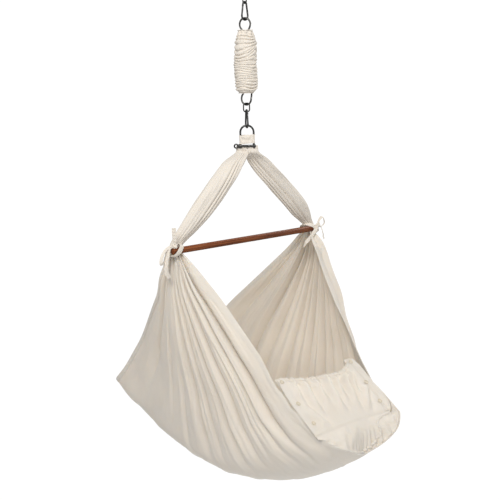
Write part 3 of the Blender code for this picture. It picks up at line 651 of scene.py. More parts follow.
def cutter_mesh(name, build, matrix=None):
    work = bmesh.new()
    build(work)
    bmesh.ops.transform(work, matrix=matrix or Matrix.Identity(4), verts=work.verts)
    mesh = bpy.data.meshes.new(name)
    work.to_mesh(mesh)
    work.free()
    obj = bpy.data.objects.new(name, mesh)
    bpy.context.scene.collection.objects.link(obj)
    return obj


def add_cylinder(work, radius, length, sides, matrix):
    bmesh.ops.create_cone(
        work, cap_ends=True, segments=sides, radius1=radius, radius2=radius, depth=length, matrix=matrix
    )


def add_box(work, size, matrix):
    bmesh.ops.create_cube(work, size=1.0, matrix=matrix @ Matrix.Diagonal((*size, 1.0)))


# ---------------------------------------------------------------- the bed's surface


def on_section(section, t):
    """A smooth curve through the section's points, t from 0 at the bar end to 1 at the keel."""
    knots = np.array(section)
    count = len(knots) - 1
    mirrored = np.array([-knots[-2][0], knots[-2][1]])
    knots = np.vstack([2 * knots[0] - knots[1], knots, mirrored])
    place_on = np.clip(t, 0.0, 1.0) * count
    index = np.minimum(place_on.astype(int), count - 1)
    f = (place_on - index)[..., None]
    return spline(*(knots[index + k] for k in range(4)), f)


def bed_point(u, v):
    """Points of the bed's outer face: u from 0 at the foot edge to 1 at the head edge, v from -1
    at the left bar end through 0 at the keel to 1 at the right bar end."""
    u, v = np.broadcast_arrays(np.asarray(u, float), np.asarray(v, float))
    t = 1.0 - np.abs(v)
    middle = on_section(MIDDLE_SECTION, t)
    towards_foot = (1.0 - (1.0 - 2.0 * np.minimum(u, 0.5)) ** 3)[..., None]
    foot = on_section(FOOT_SECTION, t)
    head = on_section(HEAD_SECTION, t)
    towards_head = ((2.0 * np.maximum(u, 0.5) - 1.0) ** 2)[..., None]
    foot_half = foot + (middle - foot) * towards_foot
    head_half = middle + (head - middle) * towards_head
    mixed = np.where((u < 0.5)[..., None], foot_half, head_half)
    half, deep = mixed[..., 0], mixed[..., 1]
    angle = -FOOT_ANGLE + (HEAD_ANGLE + FOOT_ANGLE) * u
    low = np.clip((deep - 0.54) / 0.13, 0.0, 1.0)
    wide = np.minimum(half / 0.15, 1.0)
    angle = angle - math.radians(6.0) * np.maximum(1.0 - 2.0 * u, 0.0) ** 1.5 * low * wide
    return xyz(np.sign(v) * half, deep * np.sin(angle), BAR_Z - deep * np.cos(angle))


def bed_normal(u, v):
    """Directions square to the bed's face, pointing out of the bed."""
    u, v = np.broadcast_arrays(np.asarray(u, float), np.asarray(v, float))
    small = 0.006
    along = bed_point(u + small, v) - bed_point(u - small, v)
    across = bed_point(u, v + small) - bed_point(u, v - small)
    normal = np.cross(along, across)
    normal = unit(normal)
    outward = np.sum(normal * (bed_point(u, v) - BAR), axis=-1)
    return normal * np.where(outward < 0.0, -1.0, 1.0)[..., None]


# folds that run from each bar end down the panel: place along the bed, depth in metres, half width,
# and the stretch over which each one shows, from the bar end (0) to the keel (1)
LEFT_FOLDS = [
    (0.103, 0.0270, 0.011, 0.00, 0.90), (0.158, 0.0140, 0.009, 0.00, 0.93),
    (0.252, 0.0205, 0.012, 0.00, 0.93), (0.322, 0.0165, 0.010, 0.00, 0.92),
    (0.405, 0.0155, 0.011, 0.00, 0.88), (0.470, 0.0190, 0.012, 0.00, 0.84),
    (0.205, 0.0080, 0.009, 0.30, 0.86), (0.365, 0.0080, 0.008, 0.10, 0.80),
    (0.560, 0.0070, 0.008, 0.40, 0.92), (0.650, 0.0060, 0.007, 0.25, 0.70),
    (0.700, 0.0040, 0.009, 0.02, 0.34), (0.830, 0.0170, 0.030, 0.08, 0.66),
    (0.945, 0.0050, 0.012, 0.02, 0.40), (0.130, 0.0045, 0.006, 0.00, 0.70),
    (0.181, 0.0060, 0.006, 0.00, 0.84), (0.228, 0.0050, 0.006, 0.02, 0.90),
    (0.284, 0.0060, 0.006, 0.00, 0.90), (0.345, 0.0050, 0.006, 0.02, 0.74),
    (0.383, 0.0055, 0.006, 0.00, 0.90), (0.436, 0.0060, 0.006, 0.00, 0.80),
    (0.503, 0.0050, 0.006, 0.00, 0.62), (0.535, 0.0040, 0.006, 0.00, 0.40),
]
RIGHT_FOLDS = [
    (0.125, 0.0210, 0.010, 0.00, 0.93), (0.175, 0.0080, 0.009, 0.04, 0.60),
    (0.230, 0.0175, 0.011, 0.00, 0.92), (0.285, 0.0090, 0.009, 0.05, 0.70),
    (0.340, 0.0180, 0.011, 0.00, 0.90), (0.385, 0.0080, 0.008, 0.02, 0.50),
    (0.430, 0.0170, 0.012, 0.00, 0.88), (0.500, 0.0090, 0.009, 0.02, 0.60),
    (0.560, 0.0170, 0.012, 0.00, 0.85), (0.620, 0.0080, 0.009, 0.02, 0.50),
    (0.680, 0.0150, 0.013, 0.00, 0.80), (0.755, 0.0190, 0.013, 0.00, 0.78),
    (0.900, 0.0170, 0.026, 0.00, 0.70),
]


def fold_shape(u, t, folds):
    """Depth of the folds below the smooth face: sharp creases with rounded swells between."""
    depth = np.zeros(u.shape)
    for centre, deep, wide, starts, ends in folds:
        shown = smoothstep((t - starts + 0.02) / 0.10) * (1.0 - smoothstep((t - ends + 0.22) / 0.24))
        wander = centre + 0.004 * np.sin(7.0 * t + 40.0 * centre)
        distance = np.sqrt((u - wander) ** 2 + 0.003**2) - 0.003
        narrow = wide * (1.0 + 0.5 * smoothstep(1.0 - t / 0.4))
        crease = np.exp(-distance / narrow)
        swell = np.exp(-(((u - wander - 2.6 * wide) / (1.6 * wide)) ** 2))
        depth += deep * shown * (crease - 0.33 * swell)
    return depth


def neck_point(u, side):
    """The gathered cloth at the bar end: a serpentine squeezed into a small bundle."""
    squeeze = np.sin(2 * math.pi * (9.0 * u + 0.15 * np.sin(2 * math.pi * 3 * u)))
    x = side * (NECK_OUT + 0.0105 * squeeze * np.sqrt(np.clip(1.0 - (1.9 * u - 0.95) ** 2, 0.05, 1.0)))
    y = NECK_BEHIND + 0.0165 * (2.0 * u - 1.0)
    return xyz(x, y, BAR_Z)


# how far the canvas leaves the even surface: the head edge sags outwards on the right and is pulled
# in on the left, where its lower corner rolls out, and the foot edge is tucked in on the left
EDGE_SAG = 0.038
EDGE_PULL = 0.033
EDGE_ROLL = 0.021
FOOT_TUCK = 0.012


def edge_drift(u, v):
    """The hanging canvas's distance from the even surface. The foot edge also bulges on the right."""
    t = 1.0 - np.abs(v)
    right = rise(v, -0.05, 0.10)
    left = 1.0 - right
    to_head = rise(u, 0.50, 0.50)
    low_part = rise(t, 0.34, 0.12)
    sag = EDGE_SAG * rise(t, 0.0, 0.08) * fall(t, 0.40, 0.42) * to_head * right
    pull = -EDGE_PULL * rise(t, 0.05, 0.20) * fall(t, 0.68, 0.18) * to_head**1.5 * left
    roll = EDGE_ROLL * hill(t, 0.775, 0.08) * rise(u, 0.78, 0.22) * left
    bulge = 0.003 + 0.008 * low_part + (0.020 + 0.006 * low_part) * rise(u, 0.0, 0.13)
    bulge = bulge * fall(u, 0.17, 0.30) * rise(t, 0.14, 0.16) * fall(t, 0.62, 0.14) * right
    tuck = FOOT_TUCK * rise(t, 0.56, 0.08) * fall(t, 0.80, 0.10) * fall(u, 0.0, 0.09) * left
    return xyz(bulge + tuck - 0.7 * roll, sag + pull + 0.3 * roll, 0.25 * sag - 0.6 * roll)


def foot_trim(v):
    """How far the foot edge stops short of the even surface, where the flap lies over it."""
    t = 1.0 - np.abs(v)
    left = np.interp(t, *zip(
        (0.50, 0.0), (0.60, 0.016), (0.70, 0.006), (0.75, 0.022), (0.80, 0.040), (0.85, 0.020), (0.90, 0.0),
    ))
    right = np.interp(t, *zip((0.50, 0.0), (0.60, 0.010), (0.70, 0.004), (0.80, 0.006), (0.90, 0.0)))
    return np.where(v < 0.0, left, right)


def cloth_point(u, v):
    """The canvas as it hangs: the smooth face with its folds, gathered behind the bar ends."""
    u, v = np.broadcast_arrays(np.asarray(u, float), np.asarray(v, float))
    t = 1.0 - np.abs(v)
    u = u + foot_trim(v) * np.maximum(1.0 - u / 0.3, 0.0) ** 2
    smooth = bed_point(u, v) + edge_drift(u, v)
    out = bed_normal(u, v)
    left = fold_shape(u, t, LEFT_FOLDS)
    right = fold_shape(u, t, RIGHT_FOLDS)
    calm = 1.0 - 0.75 * rise(u, 0.48, 0.06) * (v < 0.0)
    crumple = waves(u * 6.0, t * 3.0, 5, 26, 1.0, 3.0) * 0.0016
    crumple = crumple + waves(u * 22.0, t * 2.5, 6, 20, 1.0, 2.5) * 0.0009 * calm
    gathers = np.sin(2 * math.pi * (27 * u + 1.4 * np.sin(2 * math.pi * 2.3 * u + 0.7)))
    gathers = gathers + 0.6 * np.sin(2 * math.pi * (41 * u + 0.9 * np.sin(2 * math.pi * 3.1 * u)))
    ripple = 0.0026 * gathers * np.exp(-t / 0.15) * rise(t, 0.0, 0.04) * calm
    low = rise(t, 0.62, 0.18)
    folded = rise(u, 0.05, 0.05) * fall(u, 0.52, 0.08)
    left = left * (1.0 - 0.72 * low) - 0.0035 * low * folded
    shift = np.where(v < 0.0, -left, right) + ripple + crumple * (0.35 + 0.65 * rise(t, 0.0, 0.3))
    edge = smoothstep(np.minimum(u, 1.0 - u) / 0.05)
    point = smooth + out * (shift * (0.35 + 0.65 * edge))[..., None]
    gathered = neck_point(u, np.sign(v + 1e-9))
    share = smoothstep(t / np.where(v < 0.0, 0.15, 0.09))[..., None]
    return gathered + (point - gathered) * share


def u_of_distance(distance, t, from_head=False):
    """The place along the bed that lies a distance in from the foot or head edge."""
    deep = on_section(MIDDLE_SECTION, t)[..., 1]
    share = distance / np.maximum(deep * (HEAD_ANGLE + FOOT_ANGLE), 0.02)
    return 1.0 - share if from_head else share


def edge_hem(name, from_head):
    """The folded hem along one end of the bed, with its row of stitches."""
    wide = 0.014
    v = np.linspace(-0.90, 0.90, 300)[:, None]
    across = np.linspace(-0.0012, wide, 7)[None, :]
    u = u_of_distance(across, np.broadcast_to(1.0 - np.abs(v), (300, 7)), from_head)
    crown = 0.0008 * np.sin(np.pi * np.clip(across / wide, 0, 1))
    facing = bed_normal(np.clip(u, 0.01, 0.99), v)
    outside = cloth_point(np.clip(u, 0, 1), v) + facing * (CLOTH + crown)[..., None]
    v = v[:, 0]
    u = u_of_distance(np.full(300, wide - 0.0025), 1.0 - np.abs(v), from_head)
    seam, out = cloth_point(u, v), bed_normal(u, v)
    pieces = [
        cloth(name, outside, CALICO, 0.0011),
        stitches(name + "_stitches", seam + out * (CLOTH + 0.0008), out),
        stitches(name + "_inner_stitches", seam - out * (CLOTH * 0.55), -out),
    ]
    return [fixed(piece, "hammock") for piece in pieces]


def bed():
    """The bed's canvas in one piece, both gathered side panels and the base, and its hems."""
    u = np.linspace(0.0, 1.0, 331)[None, :]
    edge = np.linspace(-1.0, 1.0, 221)
    v = (np.sign(edge) * np.abs(edge) ** 0.92)[:, None]
    canvas = cloth("bed_canvas", cloth_point(u, v), CALICO)
    fixed(canvas, "hammock", "side_panel_left", "side_panel_right", "bed_base")
    trims = edge_hem("foot_edge_hem", False) + edge_hem("head_edge_hem", True)


# ---------------------------------------------------------------- mattress and inner sheet


def pocket_points(rows, columns, depth, grow=0.0):
    """A grid over the mattress's place, at a depth inside the bed's outer face."""
    half = 0.1785 + grow
    u = np.linspace(1 / 12 - grow * 0.4, 0.875 + grow * 0.4, columns)[None, :]
    v = np.linspace(-half, half, rows)[:, None]
    return bed_point(u, v) - bed_normal(u, v) * np.asarray(depth)[..., None]


def mattress():
    """The foam mattress: a soft-edged slab that follows the bed, plumped by a cloth simulation."""
    rows, columns = 34, 120
    across = np.abs(np.linspace(-1, 1, rows))[:, None]
    along = np.abs(np.linspace(-1, 1, columns))[None, :]
    thin = np.maximum(rise(across, 0.90, 0.10), rise(along, 0.965, 0.035))
    low = pocket_points(rows, columns, 0.0065 + 0.0085 * thin)
    high = pocket_points(rows, columns, 0.0285 - 0.0095 * thin)
    count = rows * columns
    faces = grid_faces(rows, columns)
    faces += [tuple(count + k for k in reversed(face)) for face in grid_faces(rows, columns)]
    index = np.arange(count).reshape(rows, columns)
    border = np.concatenate([index[0, :-1], index[:-1, -1], index[-1, :0:-1], index[:0:-1, 0]]).tolist()
    for first, second in zip(border, border[1:] + border[:1]):
        faces.append((second, first, count + first, count + second))
    points = np.vstack([low.reshape(-1, 3), high.reshape(-1, 3)])
    pad = from_faces("mattress_pad", points, faces, FOAM_TICKING, 60.0)
    fix_normals(pad)
    plump(pad, 0.0035)
    add_weave(pad, [(p.co.x, p.co.y) for p in pad.data.vertices])
    fixed(pad, "hammock", "mattress", slot="mattress_foam")


def plump(obj, cap):
    """Swells a closed piece by cloth pressure and keeps each point within a cap of where it began."""
    start = np.array([p.co for p in obj.data.vertices])
    modifier = obj.modifiers.new("cloth", "CLOTH")
    settings = modifier.settings
    settings.quality = 6
    settings.use_pressure = True
    settings.uniform_pressure_force = 3.0
    settings.tension_stiffness = 12.0
    settings.compression_stiffness = 12.0
    settings.bending_stiffness = 2.0
    settings.effector_weights.gravity = 0.0
    last = 12
    modifier.point_cache.frame_start = 1
    modifier.point_cache.frame_end = last
    scene = bpy.context.scene
    for number in range(1, last + 1):
        scene.frame_set(number)
    graph = bpy.context.evaluated_depsgraph_get()
    ended = np.array([p.co for p in obj.evaluated_get(graph).data.vertices])
    obj.modifiers.remove(modifier)
    scene.frame_set(1)
    moved = ended - start
    length = np.linalg.norm(moved, axis=1)[:, None]
    moved = moved * np.minimum(1.0, cap / np.maximum(length, 1e-9))
    obj.data.vertices.foreach_set("co", (start + moved).astype(np.float32).ravel())
    obj.data.update()


def inner_sheet():
    """The sheet sewn over the mattress, puckered along its seams."""
    rows, columns = 90, 260
    across = np.linspace(-1, 1, rows)[:, None]
    along = np.linspace(-1, 1, columns)[None, :]
    from_side, from_end = np.abs(across), np.abs(along)
    edge = np.maximum(rise(from_side, 0.86, 0.14), rise(from_end, 0.94, 0.06))
    pucker = 0.0012 * np.sin(along * 150 + 3 * np.sin(along * 23)) * rise(from_side, 0.55, 0.45)
    pucker = pucker + 0.0010 * np.sin(across * 60 + 2 * np.sin(across * 9)) * rise(from_end, 0.86, 0.14)
    soft = waves(along * 5, across * 2, 11, 20, 1.0, 3.0) * 0.0012
    depth = 0.0335 - 0.0265 * edge + (pucker + soft) * (1 - edge)
    points = pocket_points(rows, columns, depth, grow=0.012)
    inner = cloth("inner_sheet_cloth", points, CALICO, 0.0008)
    fixed(inner, "hammock", "inner_sheet")


# ---------------------------------------------------------------- foot flap


def flap_frame():
    """Matrix of the flap's plane: local X along the bar, local Y from the hinge up the flap,
    local Z out of its outer face; its origin is the hinge."""
    up = Vector((0.0, FLAP_TOP[0] - FLAP_HINGE[0], FLAP_TOP[1] - FLAP_HINGE[1])).normalized()
    along = Vector((1.0, 0.0, 0.0))
    matrix = Matrix((along, up, along.cross(up))).transposed().to_4x4()
    matrix.translation = Vector((0.0, FLAP_HINGE[0], BAR_Z + FLAP_HINGE[1]))
    return np.array(matrix)


FLAP = flap_frame()


def on_flap(local):
    local = np.asarray(local, float)
    return local @ FLAP[:3, :3].T + FLAP[:3, 3]


FLAP_BELLY = 0.016
GATHER_HEIGHT = 0.011
SIDE_HEM = 0.024

# soft folds down the flap: start, end, half width and height, in the flap's own plane
FLAP_FOLDS = [
    ((-0.112, 0.206), (-0.122, 0.090), 0.011, 0.0120), ((-0.075, 0.208), (-0.096, 0.030), 0.013, 0.0150),
    ((-0.034, 0.208), (-0.048, 0.060), 0.012, 0.0130), ((0.006, 0.208), (-0.018, 0.010), 0.014, 0.0170),
    ((0.046, 0.208), (0.016, 0.050), 0.012, 0.0150), ((0.084, 0.206), (0.040, 0.005), 0.014, 0.0180),
    ((0.122, 0.200), (0.086, 0.060), 0.010, 0.0120), ((0.140, 0.110), (0.076, 0.004), 0.012, 0.0110),
    ((-0.140, 0.110), (-0.090, 0.006), 0.012, 0.0110),
]


def flap_height(x, y):
    """Height of the flap's cloth above its plane: a soft belly, folds and gathers."""
    x, y = np.broadcast_arrays(np.asarray(x, float), np.asarray(y, float))
    swell = np.sin(math.pi * np.clip((y + 0.060) / (FLAP_LENGTH + 0.060), 0.0, 1.0)) ** 0.8
    total = FLAP_BELLY * np.cos(np.clip(x / 0.158, -1, 1) * math.pi / 2) * swell
    for (x0, y0), (x1, y1), wide, high in FLAP_FOLDS:
        length = math.hypot(x1 - x0, y1 - y0)
        dx, dy = (x1 - x0) / length, (y1 - y0) / length
        along = ((x - x0) * dx + (y - y0) * dy) / length
        bend = 0.012 * np.sin(along * 2.4)
        away = -(x - x0) * dy + (y - y0) * dx + bend
        crest = hill(away, 0.0, wide) - 0.45 * hill(away, 1.5 * wide, 0.7 * wide)
        total = total + high * crest * rise(along, 0.0, 0.25) * smoothstep((1 - along) / 0.45)
    dense = x * 66 + 0.50 * np.sin(x * 61) + 0.35 * np.sin(x * 143 + 1)
    reach = 0.036 + 0.018 * np.sin(x * 83 + 0.6)
    near_top = smoothstep((y - FLAP_LENGTH + reach + 0.012) / reach)
    middle = smoothstep((0.138 - np.abs(x)) / 0.03) * (0.75 - 1.6 * x)
    gather = 1.5 * np.abs(np.sin(math.pi * dense)) ** 0.6 - 1.0
    total = total + GATHER_HEIGHT * gather * near_top * middle
    total = total + 0.0010 * waves(x * 8, y * 8, 21, 22, 1.0, 2.6) * smoothstep((0.150 - np.abs(x)) / 0.04)
    for out, row in zip(BUTTON_OUT, BUTTON_ROWS):
        for _, side in SIDES:
            close = hill(np.hypot(x - side * out, y - row), 0.0, 0.016)
            total = total * (1.0 - close) + 0.0012 * close
    lift = np.interp(y, *zip((0.0, 0.015), (0.05, 0.008), (0.10, 0.002), (0.18, 0.002), (0.211, 0.0)))
    return total + lift * rise(x, 0.150, 0.018)


def flap_outline(y, side):
    """Half width of the flap at a height up it."""
    if side < 0:
        widths = ((0.0, 0.166), (0.05, 0.168), (0.12, 0.168), (0.18, 0.163), (0.211, 0.157))
    else:
        widths = ((0.0, 0.157), (0.03, 0.167), (0.06, 0.172), (0.12, 0.174), (0.18, 0.173), (0.211, 0.166))
    return np.interp(y, *zip(*widths))


def hanging(x, y, height):
    """Points of the flap's cloth, whose top sags between the buttons, at a height off its plane."""
    sag = 0.007 + 0.029 * (1 - np.clip((x - 0.01) / 0.150, -1, 1) ** 2) + 0.011 * hill(x, 0.085, 0.045)
    return xyz(x, y - sag * rise(y, 0.10, 0.11), height)


def flap_points(rows, columns, top=FLAP_LENGTH, bottom=0.0, proud=0.0):
    """A grid over the flap, its top edge scalloped by the gathers."""
    y = np.linspace(bottom, top, rows)[:, None]
    share = np.linspace(0.0, 1.0, columns)[None, :]
    x = -flap_outline(y, -1) + (flap_outline(y, -1) + flap_outline(y, 1)) * share
    scallop = 0.0012 * np.sin(2 * math.pi * (x * 74 + 0.50 * np.sin(x * 61))) * rise(y, 0.19, 0.02)
    scallop = scallop * smoothstep((0.14 - np.abs(x)) / 0.02)
    flush = -0.0010 * smoothstep((0.008 - y) / 0.008)
    points = hanging(x, y, flap_height(x, y) + proud + flush)
    points[..., 1] += scallop
    return points


def flap_side(name, side):
    """The hem down one side of the flap, and its two rows of stitches."""
    y = np.linspace(0.004, FLAP_LENGTH - 0.002, 90)[:, None]
    inward = np.linspace(0.0, SIDE_HEM, 8)[None, :]
    x = side * (flap_outline(y, side) - inward)
    z = flap_height(x, y) + 0.0012 + 0.0004 * np.sin(np.pi * inward / SIDE_HEM)
    band = hanging(x, y, z)
    pieces = [cloth(f"flap_side_hem_{name}", on_flap(band), CALICO, 0.0009)]
    for column, label in ((1, "outer"), (6, "inner")):
        line = on_flap(band[:, column] + (0, 0, 0.0006))
        pieces.append(stitches(f"flap_{label}_stitches_{name}", line, [FLAP[:3, 2]] * len(line)))
    return pieces


def foot_flap():
    """The buttoned flap: gathered along its top hem, with side hems, seam and buttonholes. Its cloth and side
    hems stay in place, attached to no body, and the other trims ride the flap."""
    flap = cloth("foot_flap_cloth", on_flap(flap_points(150, 280)), CALICO, 0.0011)
    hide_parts("foot_flap")
    ruffle = flap_points(10, 280, top=FLAP_LENGTH - 0.001, bottom=FLAP_LENGTH - 0.010, proud=0.0010)
    inside = smoothstep((0.138 - np.abs(ruffle[..., 0])) / 0.010)
    ruffle[..., 2] += 0.0012 * np.sin(np.linspace(0, math.pi, 10))[:, None] * inside - 0.0006 * (1 - inside)
    across_hinge = [flap]
    trims = [cloth("flap_top_hem", on_flap(ruffle), CALICO, 0.0010)]
    for name, side in SIDES:
        pieces = flap_side(name, side)
        across_hinge += pieces
        trims += pieces
    for label, below_top in (("upper", 0.0030), ("lower", 0.0088)):
        x = np.linspace(-0.134, 0.134, 150)
        y = np.full(150, FLAP_LENGTH - below_top)
        line = on_flap(hanging(x, y, flap_height(x, y) + 0.0024))
        trims.append(stitches(f"flap_{label}_hem_stitches", line, [FLAP[:3, 2]] * len(line)))
    for number, (out, row) in enumerate(zip(BUTTON_OUT, BUTTON_ROWS), 1):
        for name, side in SIDES:
            trims.append(buttonhole(f"buttonhole_{name}_{number}", side * out, row))
    for piece in trims + [flap]:
        if piece in across_hinge:
            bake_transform(piece)
        else:
            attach(piece, "foot_flap")


def buttonhole(name, x, y):
    """A worked buttonhole: a long oval of close stitches, set across the flap's side hem."""
    half, narrow, steps = 0.0105, 0.0019, 40
    angles = 2 * math.pi * np.arange(steps) / steps
    flatten = 1.0 + 0.25 * np.abs(np.sin(angles)) ** 4
    points = xyz(x + half * np.cos(angles), y + narrow * np.sin(angles) * flatten, 0.0030)
    return tube(name, on_flap(points), 0.00085, THREAD, closed=True, sides=10)


def flap_elastic():
    """The narrow elastic that shows along the flap's gathered top."""
    x = np.linspace(-0.148, 0.152, 160)
    y = np.full(160, FLAP_LENGTH)
    rows = []
    for shift, proud in ((-0.0022, 0.0), (-0.0008, 0.0006), (0.0008, 0.0006), (0.0022, 0.0)):
        row = hanging(x, y, flap_height(x, y) * 0.9 + 0.0012 + proud)
        row[:, 1] += 0.0008 + shift
        rows.append(row)
    band = cloth("elastic_in_hem", on_flap(rows), ELASTIC, 0.0012)
    fixed(band, "foot_flap", "flap_elastic", slot="elastic_band")


def gusset_point(share, down):
    """The foot wall below the flap: share from -1 to 1 across, down from the flap's seam to the
    bed's edge."""
    share, down = np.broadcast_arrays(np.asarray(share, float), np.asarray(down, float))
    x = np.where(share < 0.0, 0.163, 0.154) * share
    upper = on_flap(xyz(x, 0.001, flap_height(x, 0.001) - 0.0012))
    v = np.sign(share) * np.abs(share) ** 1.15 * np.where(share < 0, 0.215, 0.222)
    lower = cloth_point(0.004, v) - bed_normal(0.02, v) * 0.0010
    d = down[..., None]
    leave = -FLAP[:3, 1] * 0.070
    arrive = (lower - upper) * 0.9
    points = (
        upper * (2 * d**3 - 3 * d**2 + 1) + leave * (d**3 - 2 * d**2 + d) + lower * (3 * d**2 - 2 * d**3)
        + arrive * (d**3 - d**2)
    )
    out = unit(np.array([0.0, -0.86, 0.28]))
    belly = np.sin(np.clip(down, 0, 1) * math.pi)
    full = 0.006 * belly**2 * (1 - share**2) ** 0.7
    pleat = np.sin(2 * math.pi * (9 * share + 0.9 * np.sin(5 * share) + 0.5 * down))
    bunch = 0.0032 * pleat * rise(down, 0.30, 0.55) * fall(down, 0.92, 0.08)
    bunch = bunch * (0.45 + hill(share, 0.35, 0.22) + hill(share, -0.85, 0.2))
    soft = 0.0016 * waves(share * 3, down * 1.2, 61, 18, 1.0, 2.5) * belly
    return points + out * (full + bunch * (1 - share**6) + soft)[..., None]


def foot_gusset():
    """The wall below the flap, with the bunched seam that crosses it."""
    share = np.linspace(-1, 1, 200)[None, :]
    down = np.linspace(0, 1, 44)[:, None]
    gusset = cloth("foot_gusset_cloth", gusset_point(share, down), CALICO, 0.0011)
    path = [
        (-0.97, 0.60), (-0.85, 0.86), (-0.60, 0.93), (-0.30, 0.96), (0.00, 0.93), (0.18, 0.86),
        (0.30, 0.74), (0.36, 0.56), (0.40, 0.36), (0.50, 0.22), (0.68, 0.14), (0.95, 0.08),
    ]
    share, down = smooth_path(path, 24).T
    middle = gusset_point(share, down)
    along = unit(np.gradient(middle, axis=0))
    outward = unit(np.cross(along, gusset_point(share, down - 0.02) - middle))
    outward *= np.where(outward[:, 1] > 0, -1.0, 1.0)[:, None]
    across = np.cross(outward, along)
    rows = []
    count = np.arange(len(share))
    for step in np.linspace(-0.5, 0.5, 7):
        ruffle = 0.0016 * np.sin(count * 0.62 + 1.3 * np.sin(count * 0.17)) * (abs(step) * 1.6 + 0.2)
        crown = 0.0022 * math.cos(step * 2.6)
        rows.append(middle + across * (0.0075 * step) + outward * (0.0006 + crown + ruffle)[:, None])
    seam = cloth("bunched_seam", np.array(rows), CALICO, 0.0010)
    sewn = stitches("bunched_seam_stitches", middle + outward * 0.0032, outward, pitch=0.0036, long=0.0024)
    fixed(gusset, "hammock", "foot_gusset")
    trims = [fixed(piece, "hammock") for piece in (seam, sewn)]


def button_bands():
    """Doubled canvas along each panel's foot edge, under the flap's sides."""
    for name, side in SIDES:
        y = np.linspace(0.030, 0.208, 60)[:, None]
        x = side * (0.1475 + np.linspace(-0.0135, 0.0135, 10))[None, :]
        z = -0.0030 + 0.0006 * np.sin(y * 180) * np.cos(x * 60)
        band = cloth(f"button_band_cloth_{name}", on_flap(xyz(x, y, z)), CALICO, 0.0012)
        fixed(band, "hammock", f"button_band_{name}")


def button(name, x, y):
    """A four-hole button: dished face, rounded rim, crossed thread and a thread shank."""
    radius = 0.0070
    profile = [
        (0.0, 0.0040), (0.0034, 0.0040), (0.0046, 0.0043), (0.0056, 0.0051), (0.0063, 0.0052),
        (0.0068, 0.0048), (radius, 0.0042), (0.0067, 0.0036), (0.0056, 0.0031), (0.0030, 0.0029),
        (0.0, 0.0029),
    ]
    pitch = 0.0016
    disc = turned_solid(name, profile, 40, BUTTON, sharp=40.0)

    def holes(work):
        for a in (-1, 1):
            for b in (-1, 1):
                add_cylinder(work, pitch / 2, 0.01, 12, Matrix.Translation((a * pitch, b * pitch, 0.004)))

    boolean(disc, cutter_mesh(name + "_holes", holes), overlapping=False)
    disc.data.transform(Matrix(FLAP.tolist()) @ Matrix.Translation((x, y, 0.0)))
    threads = []
    f = np.linspace(0, 1, 9)
    for number, (ax, ay, bx, by) in enumerate(((-1, -1, 1, 1), (-1, 1, 1, -1))):
        over = 0.0038 + 0.0009 * np.sin(math.pi * f) + 0.0003 * number
        path = xyz(x + pitch * (ax + (bx - ax) * f), y + pitch * (ay + (by - ay) * f), over)
        threads.append(tube(f"{name}_thread_{number}", on_flap(path), 0.00042, THREAD, sides=8))
    shank = xyz(x, y, np.linspace(-0.0004, 0.0032, 8))
    swell = 0.0013 + 0.00025 * np.sin(np.arange(8) * 2.2)
    threads.append(tube(name + "_shank", on_flap(shank), swell, THREAD, sides=12))
    return disc, joined(name + "_thread", threads)


def buttons():
    for side_name, side in SIDES:
        for row_name, out, row in zip(("low", "middle", "top"), BUTTON_OUT, BUTTON_ROWS):
            disc, sewn = button(f"pearl_{side_name}_{row_name}", side * out, row)
            fixed(disc, "hammock", f"button_{side_name}_{row_name}", slot="button_plastic")
            fixed(sewn, "hammock", slot="button_plastic")


# ---------------------------------------------------------------- yoke


# down one arm of the yoke: height above the bar, distance out from the middle (None at the tab), share
# of the right arm's shift, width and thickness
STRAP_SLICES = [
    (0.284, None, 0.0, 0.024, 0.009), (0.274, None, 0.0, 0.027, 0.012), (0.262, None, 0.0, 0.036, 0.015),
    (0.240, 0.046, 0.0, 0.060, 0.021), (0.205, 0.080, 0.2, 0.077, 0.027),
    (0.165, 0.120, 0.5, 0.093, 0.032), (0.125, 0.161, 0.7, 0.098, 0.034),
    (0.085, 0.202, 0.7, 0.091, 0.033), (0.050, 0.236, 0.7, 0.072, 0.029),
    (0.026, 0.259, 1.0, 0.048, 0.022), (0.010, 0.274, 1.0, 0.034, 0.021),
    (-0.004, 0.277, 1.0, 0.031, 0.021),
]


def strap_rows(side):
    """Centre, width and thickness down one arm of the yoke, from the tab to behind the bar."""
    along_bar = np.array([1.0, 0.0, 0.0])
    across = turn(SHACKLE_TURN) @ along_bar
    behind = turn(SHACKLE_TURN) @ np.array([0.0, 1.0, 0.0])
    shift = 0.013 if side > 0 else 0.0
    rows = []
    for height, out, share, wide, thick in STRAP_SLICES:
        if out is None:
            centre = across * (side * 0.0150) + behind * 0.0085
            lean = 0.0
        else:
            behind_bar = 0.006 + (NECK_BEHIND - 0.006) * float(smoothstep((0.085 - height) / 0.075))
            centre = np.array([side * (out + share * shift), behind_bar, 0.0])
            lean = min(1.0, (0.258 - height) / 0.10)
        centre[2] = BAR_Z + height
        rows.append((*centre, *unit(across * (1 - lean) + along_bar * lean), wide, thick))
    return np.array(rows)


# lengthwise folds of an arm: place round its section, depth, half width
LEFT_STRAP_FOLDS = [
    (0.07, 0.0080, 0.014), (0.15, 0.0050, 0.010), (0.22, 0.0100, 0.013), (0.31, 0.0060, 0.010),
    (0.41, 0.0085, 0.014), (0.525, 0.0060, 0.009), (0.570, 0.0090, 0.008), (0.620, 0.0060, 0.008),
    (0.700, 0.0022, 0.018), (0.800, 0.0016, 0.020), (0.880, 0.0030, 0.014), (0.945, 0.0030, 0.009),
]
RIGHT_STRAP_FOLDS = [
    (0.07, 0.0080, 0.014), (0.15, 0.0050, 0.010), (0.22, 0.0100, 0.013), (0.320, 0.0060, 0.009),
    (0.370, 0.0095, 0.010), (0.430, 0.0070, 0.009), (0.490, 0.0105, 0.010), (0.550, 0.0060, 0.009),
    (0.610, 0.0080, 0.010), (0.720, 0.0026, 0.014), (0.86, 0.0090, 0.014), (0.945, 0.0050, 0.009),
]


